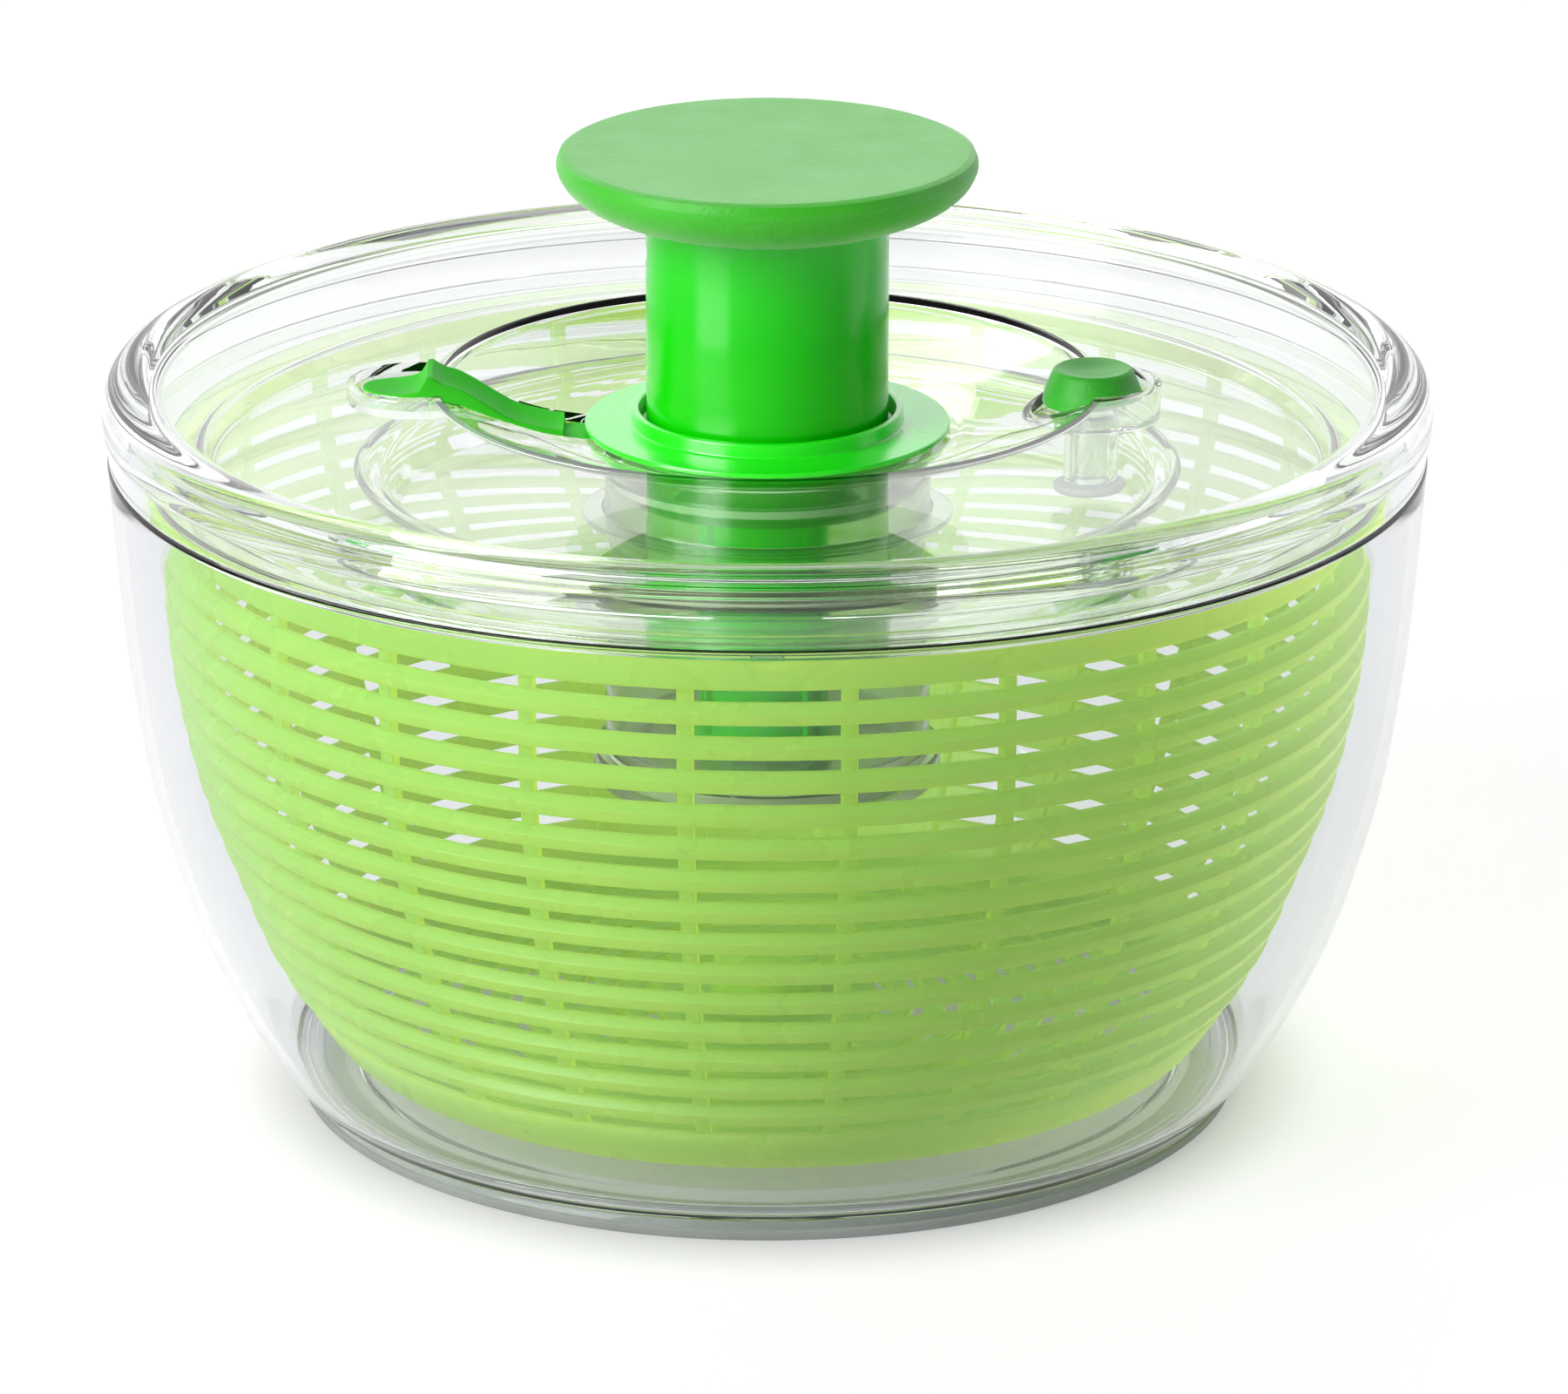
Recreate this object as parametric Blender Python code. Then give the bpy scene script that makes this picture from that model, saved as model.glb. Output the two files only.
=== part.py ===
"""Pump-action salad spinner: clear bowl, slatted basket and a clear lid with a push knob.

Pushing the knob drives a nut down a twisted rod. The rod turns a ratchet wheel, the wheel
turns the drive well and its disc, and the disc carries the basket round. The brake button
presses a pad on the disc, and the slider locks the knob down.

Sizes are in millimetres and MM turns them into metres. The origin is the middle of the base,
+Z is up, the brake button is towards +X and the lock slider towards -X.
"""
import math

import bmesh
import bpy
from mathutils import Matrix, Vector

MM = 0.001
GAP = 0.3  # between pieces that rest on or pass each other

# Driving dimensions
LID_R = 134.0
BOWL_TOP_Z = 134.1
BOWL_WALL = 2.4
FOOT_R = 98.0
BASKET_WALL = 2.2
BASKET_FLOOR_Z = 12.8
PLATE_Z = 147.7
PLATE_THICK = 2.2
RECESS_R = 66.6
KNOB_R = 42.2
KNOB_TOP_Z = 195.6
PLUNGER_R = 24.4
PLUNGER_WALL = 2.6
WELL_R = 33.1
WELL_WALL = 2.0
CAP_R = 35.4
CAP_BOTTOM_Z = 64.5
COLUMN_R = 12.5
PUMP_STROKE = 38.0
ROD_TURNS = 1.5  # turns of the rod in one stroke
BRAKE_X = 65.6

# Basket slots: each opening here stands for three fine slots and has their open area
RIB_COUNT = 24
RIB_HALF_ANGLE = 0.8
RIB_FIRST_ANGLE = 7.5
FINE_PITCH = 6.93
FINE_GAP = 2.9
SLOT_ROWS = 5
SLOT_PITCH = 3 * FINE_PITCH
SLOT_HEIGHT = 3 * FINE_GAP
TOP_SLOT_Z = 121.5 - FINE_PITCH
DRIVE_LUGS = 4

# Facets round a full turn
WIDE_STEPS = 32
KNOB_STEPS = 28
MIDDLE_STEPS = 24
SMALL_STEPS = 12

MATERIALS = {
    "clear_plastic": ((0.90, 0.93, 0.94), 0.05, 0.0, 0.25),
    "basket_plastic": ((0.42, 0.72, 0.16), 0.30, 0.0, 0.85),
    "green_plastic": ((0.02, 0.60, 0.01), 0.18, 0.0, 1.0),
    "soft_touch": ((0.10, 0.58, 0.09), 0.65, 0.0, 1.0),
    "button_plastic": ((0.04, 0.38, 0.03), 0.55, 0.0, 1.0),
    "acetal": ((0.86, 0.86, 0.83), 0.35, 0.0, 1.0),
    "grey_rubber": ((0.55, 0.58, 0.57), 0.75, 0.0, 1.0),
    "spring_steel": ((0.62, 0.62, 0.62), 0.25, 1.0, 1.0),
}


# ---------------------------------------------------------------- helpers
def clear_scene():
    for thing in list(bpy.data.objects):
        bpy.data.objects.remove(thing, do_unlink=True)


def make_materials():
    made = {}
    for name, (colour, roughness, metallic, alpha) in MATERIALS.items():
        mat = bpy.data.materials.new(name)
        mat.use_nodes = True
        shader = mat.node_tree.nodes["Principled BSDF"]
        shader.inputs["Base Color"].default_value = (*colour, 1.0)
        shader.inputs["Roughness"].default_value = roughness
        shader.inputs["Metallic"].default_value = metallic
        shader.inputs["Alpha"].default_value = alpha
        mat.diffuse_color = (*colour, alpha)
        made[name] = mat
    return made


def turned(profile, steps):
    """A profile of (radius, height) points turned round Z into a closed solid."""
    bm = bmesh.new()
    verts = [bm.verts.new((radius, 0, height)) for radius, height in profile]
    edges = [bm.edges.new(pair) for pair in zip(verts, verts[1:])]
    if profile[0][0] > 0 or profile[-1][0] > 0:
        edges.append(bm.edges.new((verts[-1], verts[0])))
    bmesh.ops.spin(
        bm, geom=verts + edges, cent=(0, 0, 0), axis=(0, 0, 1),
        angle=math.tau, steps=steps, use_merge=True,
    )
    bmesh.ops.remove_doubles(bm, verts=bm.verts, dist=0.001)
    bmesh.ops.recalc_face_normals(bm, faces=bm.faces)
    return bm


def ring(inner, outer, bottom, top, steps):
    return turned([(inner, bottom), (outer, bottom), (outer, top), (inner, top)], steps)


def disc(radius, bottom, top, steps):
    return turned([(0, bottom), (radius, bottom), (radius, top), (0, top)], steps)


def post(radius, bottom, top, steps, x):
    """A cylinder standing at x, turned half a facet so that no corner lies on the X axis."""
    bm = moved(disc(radius, bottom, top, steps), angle=math.pi / steps)
    return moved(bm, (x, 0, 0))


def box(low, high):
    bm = bmesh.new()
    bmesh.ops.create_cube(bm, size=1)
    bmesh.ops.scale(bm, vec=Vector(high) - Vector(low), verts=bm.verts)
    bmesh.ops.translate(bm, vec=(Vector(low) + Vector(high)) / 2, verts=bm.verts)
    return bm


def loft(rings):
    """Closed solid through rings of equal length, with its two ends capped."""
    bm = bmesh.new()
    rows = [[bm.verts.new(point) for point in points] for points in rings]
    count = len(rows[0])
    for lower, upper in zip(rows, rows[1:]):
        for i in range(count):
            j = (i + 1) % count
            bm.faces.new((lower[i], lower[j], upper[j], upper[i]))
    bm.faces.new(rows[0][::-1])
    bm.faces.new(rows[-1])
    bmesh.ops.recalc_face_normals(bm, faces=bm.faces)
    return bm


def moved(bm, offset=(0, 0, 0), angle=0.0):
    bmesh.ops.rotate(bm, cent=(0, 0, 0), matrix=Matrix.Rotation(angle, 3, "Z"), verts=bm.verts)
    bmesh.ops.translate(bm, vec=offset, verts=bm.verts)
    return bm


def joined(parts):
    """Several bmeshes in one, as separate bodies of a cutter."""
    whole = bmesh.new()
    for part in parts:
        carrier = bpy.data.meshes.new("carrier")
        part.to_mesh(carrier)
        part.free()
        whole.from_mesh(carrier)
        bpy.data.meshes.remove(carrier)
    return whole


def round_the_axis(make, count, first_angle=0.0):
    """Copies of one shape at equal angles round Z."""
    return joined([moved(make(), angle=first_angle + math.tau * i / count) for i in range(count)])


def add_object(name, bm, axis_point=(0, 0, 0)):
    """An object from a bmesh in millimetres, its origin on axis_point."""
    bmesh.ops.translate(bm, vec=-Vector(axis_point), verts=bm.verts)
    bmesh.ops.scale(bm, vec=(MM, MM, MM), verts=bm.verts)
    mesh = bpy.data.meshes.new(name)
    bm.to_mesh(mesh)
    bm.free()
    thing = bpy.data.objects.new(name, mesh)
    thing.location = Vector(axis_point) * MM
    bpy.context.scene.collection.objects.link(thing)
    return thing


def add_node(name, bm, slot, axis_point=(0, 0, 0)):
    thing = add_object(name, bm, axis_point)
    thing.data.materials.append(materials[slot])
    thing.data.shade_smooth()
    thing.data.set_sharp_from_angle(angle=math.radians(35))
    return thing


def add_tool(name, bm):
    """A shape that only cuts or joins others."""
    thing = add_object(name, bm)
    thing.hide_render = True
    thing.display_type = "WIRE"
    return thing


def combine(thing, tool, operation):
    step = thing.modifiers.new(tool.name, "BOOLEAN")
    step.operation = operation
    step.object = tool


def offset_inwards(points, distance):
    """The points of a profile moved to its left side, seen along its direction."""
    shifted = []
    for i, (radius, height) in enumerate(points):
        before = Vector(points[max(i - 1, 0)])
        after = Vector(points[min(i + 1, len(points) - 1)])
        along = (after - before).normalized()
        shifted.append((radius - along.y * distance, height + along.x * distance))
    return shifted


def between(points, height):
    """Radius of a rising profile at a height."""
    for (r0, z0), (r1, z1) in zip(points, points[1:]):
        if z0 <= height <= z1:
            return r0 + (r1 - r0) * (height - z0) / (z1 - z0)
    return points[-1][0]


def coil(radius, wire, bottom, top, turns):
    """A round wire wound up Z."""
    steps = turns * 9
    sides = 4
    rings = []
    for i in range(steps + 1):
        angle = math.tau * turns * i / steps
        middle = bottom + wire + (top - bottom - 2 * wire) * i / steps
        around = [math.tau * k / sides for k in range(sides)]
        rings.append([
            (
                (radius + wire * math.cos(a)) * math.cos(angle),
                (radius + wire * math.cos(a)) * math.sin(angle),
                middle + wire * math.sin(a),
            )
            for a in around
        ])
    return loft(rings)


def twisted_bar(half_width, half_thick, bottom, top, steps):
    """A flat bar twisted right-handed at the rod's lead."""
    lead = PUMP_STROKE / ROD_TURNS
    rings = []
    for i in range(steps + 1):
        height = bottom + (top - bottom) * i / steps
        turn = math.tau * height / lead
        corners = [(-1, -1), (1, -1), (1, 1), (-1, 1)]
        points = [Vector((x * half_width, y * half_thick, height)) for x, y in corners]
        rings.append([Matrix.Rotation(turn, 3, "Z") @ point for point in points])
    return loft(rings)


# ---------------------------------------------------------------- bowl
BOWL_SIDE = [
    (FOOT_R, 3.3), (99.6, 6.4), (106.4, 16.0), (113.7, 30.0), (120.5, 48.0), (126.3, 70.0),
    (130.0, 95.0), (133.1, BOWL_TOP_Z),
]
BOWL_FLOOR_Z = 7.6


def make_bowl():
    inner = offset_inwards(BOWL_SIDE, BOWL_WALL)[2:]
    profile = [(0, 4.9), (85.0, 4.9), (86.0, 3.3), (92.0, 3.3), (92.0, 5.4), (94.6, 5.4), (94.6, 3.3)]
    profile += BOWL_SIDE + [(inner[-1][0], BOWL_TOP_Z)] + inner[-2::-1]
    profile += [(96.0, BOWL_FLOOR_Z), (9.0, BOWL_FLOOR_Z), (8.0, 10.6)]
    profile += [(3.0, 10.6), (3.0, 6.4), (0, 6.4)]
    add_node("bowl", turned(profile, WIDE_STEPS), "clear_plastic")
    foot = [(88.0, 0), (97.6, 0), (FOOT_R, 3.0), (94.2, 3.0), (94.2, 5.0), (92.4, 5.0)]
    foot += [(92.4, 3.0), (88.0, 3.0)]
    add_node("non_slip_ring", turned(foot, WIDE_STEPS), "grey_rubber")
    pin = [(0, 6.7), (2.7, 6.7), (2.7, 18.4), (1.6, 19.6), (0, 20.0)]
    add_node("pivot_pin", turned(pin, SMALL_STEPS), "spring_steel")


# ---------------------------------------------------------------- basket
BASKET_SIDE = [
    (88.6, 13.3), (92.4, 16.4), (95.4, 20.4), (98.6, 26.0), (103.8, 36.0), (108.6, 48.0),
    (113.7, 62.0), (117.6, 76.0), (120.3, 90.0), (121.6, 104.0), (121.7, 124.0), (121.8, 131.0),
]
FLOOR_SLOTS = [(76.0, 54.0), (46.0, 24.0)]  # outer and inner radius
SPOKE_EVERY = 3  # every third sector of the floor stays whole


def basket_rows():
    """Outer profile from the top rim down to the hub, with the row index of each slot's start."""
    rows = [(122.4, 131.0)]
    wall_slots = []
    for i in range(SLOT_ROWS):
        middle = TOP_SLOT_Z - SLOT_PITCH * i
        wall_slots.append(len(rows))
        for height in (middle + SLOT_HEIGHT / 2, middle - SLOT_HEIGHT / 2):
            rows.append((between(BASKET_SIDE, height), height))
    rows += [(92.0, 16.2), (87.0, BASKET_FLOOR_Z)]
    floor_slots = []
    for outer, inner in FLOOR_SLOTS:
        floor_slots.append(len(rows))
        rows += [(outer, BASKET_FLOOR_Z), (inner, BASKET_FLOOR_Z)]
    rows += [(8.2, BASKET_FLOOR_Z), (8.2, 22.6), (0, 22.6)]
    return rows, wall_slots, floor_slots


def make_basket():
    outer, wall_slots, floor_slots = basket_rows()
    floor_edge = floor_slots[0] - 1
    inner = [(119.4, outer[0][1])]
    for radius, height in outer[1:floor_edge]:
        inner.append((radius - BASKET_WALL, height + 0.4))
    for radius, height in outer[floor_edge:-3]:
        inner.append((min(radius, 85.4), height + BASKET_WALL))
    inner += [(11.0, BASKET_FLOOR_Z + BASKET_WALL), (11.0, 24.6), (0, 24.6)]
    angles = []
    for i in range(RIB_COUNT):
        rib = RIB_FIRST_ANGLE + 360 / RIB_COUNT * i
        angles += [rib - RIB_HALF_ANGLE, rib + RIB_HALF_ANGLE]
    bm = bmesh.new()
    grids = []
    for skin in (outer, inner):
        grid = []
        for angle in angles:
            turn = math.radians(angle)
            grid.append([bm.verts.new((r * math.cos(turn), r * math.sin(turn), z)) for r, z in skin])
        grids.append(grid)
    columns = len(angles)
    for column in range(columns):
        following = (column + 1) % columns
        window_column = column % 2 == 1
        sector = column // 2
        for row in range(len(outer) - 1):
            open_here = window_column and (
                row in wall_slots or (row in floor_slots and sector % SPOKE_EVERY != 0)
            )
            corners = [(column, row), (following, row), (following, row + 1), (column, row + 1)]
            if not open_here:
                for grid in grids:
                    bm.faces.new([grid[c][r] for c, r in corners])
                continue
            for (c0, r0), (c1, r1) in zip(corners, corners[1:] + corners[:1]):
                bm.faces.new((grids[0][c0][r0], grids[0][c1][r1], grids[1][c1][r1], grids[1][c0][r0]))
        bm.faces.new((grids[0][column][0], grids[0][following][0],
                      grids[1][following][0], grids[1][column][0]))
    bmesh.ops.remove_doubles(bm, verts=bm.verts, dist=0.001)
    bmesh.ops.dissolve_degenerate(bm, edges=bm.edges, dist=0.0001)
    bmesh.ops.recalc_face_normals(bm, faces=bm.faces)
    basket = add_node("basket", bm, "basket_plastic")
    notches = round_the_axis(lambda: box((117.0, -3.2, 128.4), (124.0, 3.2, 132.0)), DRIVE_LUGS)
    combine(basket, add_tool("rim_notches", notches), "DIFFERENCE")
    bush = [(0, 22.3), (7.8, 22.3), (7.8, 11.2), (3.1, 11.2), (3.1, 20.3), (0, 20.3)]
    add_node("pivot_bush", turned(bush, SMALL_STEPS), "acetal")


# ---------------------------------------------------------------- lid
DISH = [(38.0, 137.9), (46.0, 139.2), (55.0, 142.1), (65.9, 146.1)]
BORE_R = 28.4
BOSS_R = 34.0
BOSS_BOTTOM_Z = 133.4
TONGUE_Z = 135.3
CHANNEL_FLOOR = 1.6
POCKET_R = 13.8
POCKET_WALL = 1.4
POCKET_BOTTOM_Z = 138.0
GUIDE_R = 5.5
TROUGH_WALL = 1.4
TROUGH_END_X = -71.0
TROUGH_END_R = 12.5
TROUGH_HALF_WIDTH = 8.6
TROUGH_FLOOR = [(-84.0, 143.6), (-64.0, 143.0), (-54.0, 140.2), (-44.0, 135.6), (-40.0, 135.0)]


def trough_floor(x, drop):
    path = TROUGH_FLOOR
    if x <= path[0][0]:
        return path[0][1] - drop
    for (x0, z0), (x1, z1) in zip(path, path[1:]):
        if x0 <= x <= x1:
            return z0 + (z1 - z0) * (x - x0) / (x1 - x0) - drop
    return path[-1][1] - drop


def trough_solid(grow, drop, top):
    """The trough's volume, cut in slices so that its floor can slope."""
    stations = [-27.0, -40.0, -44.0, -54.0, -61.9, -64.0, -71.0, -77.0, -81.0, -83.5 - grow]
    radius = TROUGH_END_R + grow
    half = TROUGH_HALF_WIDTH + grow
    rings = []
    for x in stations:
        reach = max(radius ** 2 - (x - TROUGH_END_X) ** 2, 0.6)
        width = max(half, math.sqrt(reach)) if x > TROUGH_END_X else math.sqrt(reach)
        floor = trough_floor(x, drop)
        rings.append([(x, -width, floor), (x, width, floor), (x, width, top), (x, -width, top)])
    return loft(rings)


def make_lid():
    top = [(BORE_R, 137.9)] + DISH + [(RECESS_R, PLATE_Z), (121.5, PLATE_Z)]
    top += [(125.5, 149.5), (128.5, 150.2), (132.6, 148.8), (LID_R, 145.0)]
    top += [(133.8, 141.2), (133.2, 140.8), (132.8, 134.4)]
    under = [(129.6, 134.4), (129.6, 127.0), (127.6, 127.0), (127.6, 141.0), (126.0, 145.5)]
    under += [(67.6, PLATE_Z - PLATE_THICK)]
    under += [(r + 0.8, z - PLATE_THICK) for r, z in DISH[::-1]]
    under += [(BOSS_R, 135.7), (BOSS_R, BOSS_BOTTOM_Z), (BORE_R, BOSS_BOTTOM_Z)]
    lid = add_node("lid_shell", turned(top + under, WIDE_STEPS), "clear_plastic")

    # What the recess leaves free above the dish, so that the pocket and trough walls end on it
    skin = 0.8
    space = [(0, 137.9 - skin)] + [(r, z - skin) for r, z in DISH]
    space += [(RECESS_R - 0.1, 146.9), (100.0, 146.9), (100.0, 160), (0, 160)]
    above = add_tool("space_above_dish", turned(space, WIDE_STEPS))

    pocket = add_tool("pocket_outside", post(POCKET_R, POCKET_BOTTOM_Z, 147.4, MIDDLE_STEPS, BRAKE_X))
    combine(pocket, above, "DIFFERENCE")
    trough = add_tool("trough_outside", trough_solid(TROUGH_WALL, CHANNEL_FLOOR, 147.4))
    combine(trough, above, "DIFFERENCE")
    guide = add_tool("stem_guide", post(GUIDE_R, 124.0, 138.6, SMALL_STEPS, BRAKE_X))
    for tool in (pocket, trough, guide):
        combine(lid, tool, "UNION")

    hollow_r = POCKET_R - POCKET_WALL
    pocket_hollow = post(hollow_r, POCKET_BOTTOM_Z + POCKET_WALL, 155, MIDDLE_STEPS, BRAKE_X)
    hollows = [
        add_tool("pocket_hollow", pocket_hollow),
        add_tool("stem_bore", post(4.0, 120, 145, SMALL_STEPS, BRAKE_X)),
        add_tool("trough_hollow", trough_solid(0, 0, 155)),
        add_tool("bore_again", disc(BORE_R + 0.2, 130, 155, WIDE_STEPS)),
    ]
    for tool in hollows:
        combine(lid, tool, "DIFFERENCE")


def make_collar():
    profile = [
        (25.0, 123.3), (28.9, 123.3), (28.9, 124.2), (27.9, 124.2), (27.9, 138.2), (36.9, 138.2),
        (36.9, 139.4), (27.5, 139.4), (27.5, 142.4), (25.9, 142.4), (25.9, 138.6), (25.0, 138.0),
    ]
    collar = add_node("collar", turned(profile, MIDDLE_STEPS), "green_plastic")
    slot = box((-30.0, -3.4, TONGUE_Z - GAP), (-24.0, 3.4, 137.8))
    combine(collar, add_tool("tongue_slot", slot), "DIFFERENCE")
    add_node("collar_retainer", ring(28.2, 30.7, 124.6, 126.7, MIDDLE_STEPS), "acetal")
    add_node("bearing_ring", ring(28.8, 33.0, 132.0, 133.1, MIDDLE_STEPS), "acetal")


# ---------------------------------------------------------------- drive that turns the basket
WELL_FLOOR_Z = 71.2
WELL_TOP_Z = 131.7
SCREW_CIRCLE = 29.9
SCREW_COUNT = 3
SCREW_FIRST_ANGLE = 17.0
PAWL_COUNT = 3
PAWL_TIP_R = 15.9
PAWL_SWEEP = 0.9  # angle from an arm's root to its tip, in radians
PAWL_FIRST_ANGLE = 30.0
RIB_PAIRS = 3
RIB_PAIR_ANGLE = -44.0  # middle of the first pair on the column
RIB_PAIR_HALF = 9.0


def make_drive():
    inner_r = WELL_R - WELL_WALL
    well = [
        (9.5, WELL_FLOOR_Z), (WELL_R, WELL_FLOOR_Z), (WELL_R, 113.5), (38.0, 113.5), (38.0, 115.5),
        (WELL_R, 115.5), (WELL_R, WELL_TOP_Z), (28.6, WELL_TOP_Z), (28.6, 127.0), (inner_r, 127.0),
        (inner_r, 73.2), (9.5, 73.2),
    ]
    housing = add_node("pump_housing", turned(well, MIDDLE_STEPS), "clear_plastic")

    plate = [
        (33.5, 115.8), (76.4, 115.8), (79.6, 126.2), (114.6, 126.2), (115.8, 131.4), (121.6, 131.4),
        (121.6, 133.2), (114.2, 133.2), (113.0, 128.0), (78.2, 128.0), (75.0, 117.6), (33.5, 117.6),
    ]
    drive_disc = add_node("drive_disc", turned(plate, WIDE_STEPS), "clear_plastic")
    lugs = round_the_axis(lambda: box((119.6, -2.6, 129.0), (121.4, 2.6, 132.4)), DRIVE_LUGS)
    combine(drive_disc, add_tool("drive_lugs", lugs), "UNION")

    cap_profile = [
        (0, CAP_BOTTOM_Z), (34.6, CAP_BOTTOM_Z), (CAP_R, 65.3), (CAP_R, 70.9), (33.2, 70.9),
        (33.2, 66.9), (3.4, 66.9), (3.4, 65.6), (0, 65.6),
    ]
    cap = add_node("housing_end_cap", turned(cap_profile, MIDDLE_STEPS), "clear_plastic")

    pawl_ring = add_node("ratchet_ring", ring(27.0, 32.8, 67.2, 70.6, MIDDLE_STEPS), "acetal")
    arm_start = Vector((28.0, 0, 0))
    arm_end = Vector((PAWL_TIP_R * math.cos(PAWL_SWEEP), PAWL_TIP_R * math.sin(PAWL_SWEEP), 0))
    along = arm_end - arm_start
    lean = math.atan2(along.y, along.x)

    def pawl():
        arm = box((0, -0.8, 67.4), (along.length, 0.8, 70.4))
        return moved(arm, arm_start, lean)

    pawls = round_the_axis(pawl, PAWL_COUNT, math.radians(PAWL_FIRST_ANGLE))
    combine(pawl_ring, add_tool("pawls", pawls), "UNION")

    def screw_place(shape):
        return moved(shape, (SCREW_CIRCLE, 0, 0))

    first = math.radians(SCREW_FIRST_ANGLE)
    through = round_the_axis(lambda: screw_place(disc(1.6, 60, 80, 10)), SCREW_COUNT, first)
    sinks = round_the_axis(lambda: screw_place(disc(2.9, 58, 65.8, 10)), SCREW_COUNT, first)
    screw_holes = add_tool("screw_holes", through)
    for thing in (housing, cap, pawl_ring):
        combine(thing, screw_holes, "DIFFERENCE")
    combine(cap, add_tool("screw_sinks", sinks), "DIFFERENCE")
    for i in range(SCREW_COUNT):
        screw = turned([(0, 64.7), (2.6, 64.7), (2.6, 65.5), (1.3, 65.5), (1.3, 73.0), (0, 73.0)], 10)
        turn = first + math.tau * i / SCREW_COUNT
        add_node(f"cap_screw_{i + 1}", moved(screw_place(screw), angle=turn), "spring_steel")

    column = [
        (11.0, 73.5), (17.0, 73.5), (17.0, 75.0), (COLUMN_R, 75.0), (COLUMN_R, 118.4), (19.5, 118.4),
        (19.5, 120.0), (11.0, 120.0),
    ]
    guide = add_node("spindle_guide", turned(column, MIDDLE_STEPS), "green_plastic")
    ribs = []
    for pair in range(RIB_PAIRS):
        for side in (-RIB_PAIR_HALF, RIB_PAIR_HALF):
            angle = math.radians(RIB_PAIR_ANGLE + 360 / RIB_PAIRS * pair + side)
            ribs.append(moved(box((12.0, -0.5, 74.5), (13.9, 0.5, 118.8)), angle=angle))
    combine(guide, add_tool("column_ribs", joined(ribs)), "UNION")
    add_node("thrust_washer", ring(3.3, 6.0, 67.2, 67.6, SMALL_STEPS), "acetal")


# ---------------------------------------------------------------- spindle
def make_spindle():
    rod = add_node("twist_rod", twisted_bar(3.1, 1.2, 72.0, 134.0, 44), "spring_steel")
    combine(rod, add_tool("rod_journal", disc(3.0, 65.9, 73.0, SMALL_STEPS)), "UNION")
    teeth = 12
    outline = []
    for i in range(teeth):
        start = math.tau * i / teeth
        outline += [(14.2, start), (12.4, start + math.tau / teeth * 0.12)]
    rings = []
    for height in (67.9, 70.4):
        rings.append([(r * math.cos(a), r * math.sin(a), height) for r, a in outline])
    wheel = add_node("ratchet_wheel", loft(rings), "acetal")
    combine(wheel, add_tool("wheel_bore", disc(3.3, 60, 75, SMALL_STEPS)), "DIFFERENCE")


# ---------------------------------------------------------------- pump knob and plunger
def make_pump():
    inner_r = PLUNGER_R - PLUNGER_WALL
    profile = [
        (inner_r, 120.8), (27.4, 120.8), (27.4, 122.3), (PLUNGER_R, 122.9), (PLUNGER_R, 183.7),
        (inner_r, 183.7),
    ]
    plunger = add_node("plunger", turned(profile, KNOB_STEPS), "green_plastic")
    notches = []
    for lift in (0, PUMP_STROKE):
        notches.append(box((-26.0, -3.4, TONGUE_Z - 0.9 + lift), (-22.5, 3.4, 138.2 + lift)))
    combine(plunger, add_tool("lock_notches", joined(notches)), "DIFFERENCE")

    cover = [
        (0, KNOB_TOP_Z), (40.9, KNOB_TOP_Z), (KNOB_R, 193.6), (41.4, 190.6), (37.6, 186.6),
        (31.0, 183.8), (25.0, 182.5), (24.9, 184.3), (30.4, 185.7), (36.2, 188.4), (39.2, 191.2),
        (39.6, 193.4), (0, 193.4),
    ]
    add_node("knob_cover", turned(cover, KNOB_STEPS), "soft_touch")
    core = [
        (4.2, 193.1), (39.1, 193.1), (38.6, 191.3), (35.8, 188.8), (30.2, 186.1), (24.6, 184.8),
        (24.6, 184.0), (21.4, 184.0), (21.4, 178.0), (17.6, 178.0), (17.6, 181.6),
        (2.3, 181.6), (2.3, 189.8), (4.2, 189.8),
    ]
    add_node("knob_core", turned(core, MIDDLE_STEPS), "acetal")
    screw = [(0, 178.0), (2.0, 178.0), (2.0, 190.1), (3.8, 190.1), (3.8, 192.2), (3.2, 192.7), (0, 192.7)]
    add_node("knob_screw", turned(screw, 12), "spring_steel")
    carrier = [
        (7.4, 112.0), (10.2, 112.0), (10.2, 176.4), (13.2, 176.4), (13.2, 181.3), (2.3, 181.3),
        (2.3, 176.0), (6.0, 174.6), (6.0, 118.3), (7.4, 118.3),
    ]
    add_node("nut_carrier", turned(carrier, MIDDLE_STEPS), "green_plastic")
    nut = add_node("drive_nut", disc(7.1, 112.2, 118.0, MIDDLE_STEPS), "acetal")
    combine(nut, add_tool("nut_thread", twisted_bar(3.6, 1.7, 108.0, 122.0, 20)), "DIFFERENCE")
    add_node("spring_washer", ring(11.0, 19.5, 120.3, 121.2, MIDDLE_STEPS), "acetal")
    add_node("pump_spring", coil(15.6, 0.6, 121.5, 181.2, 8), "spring_steel")


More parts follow.
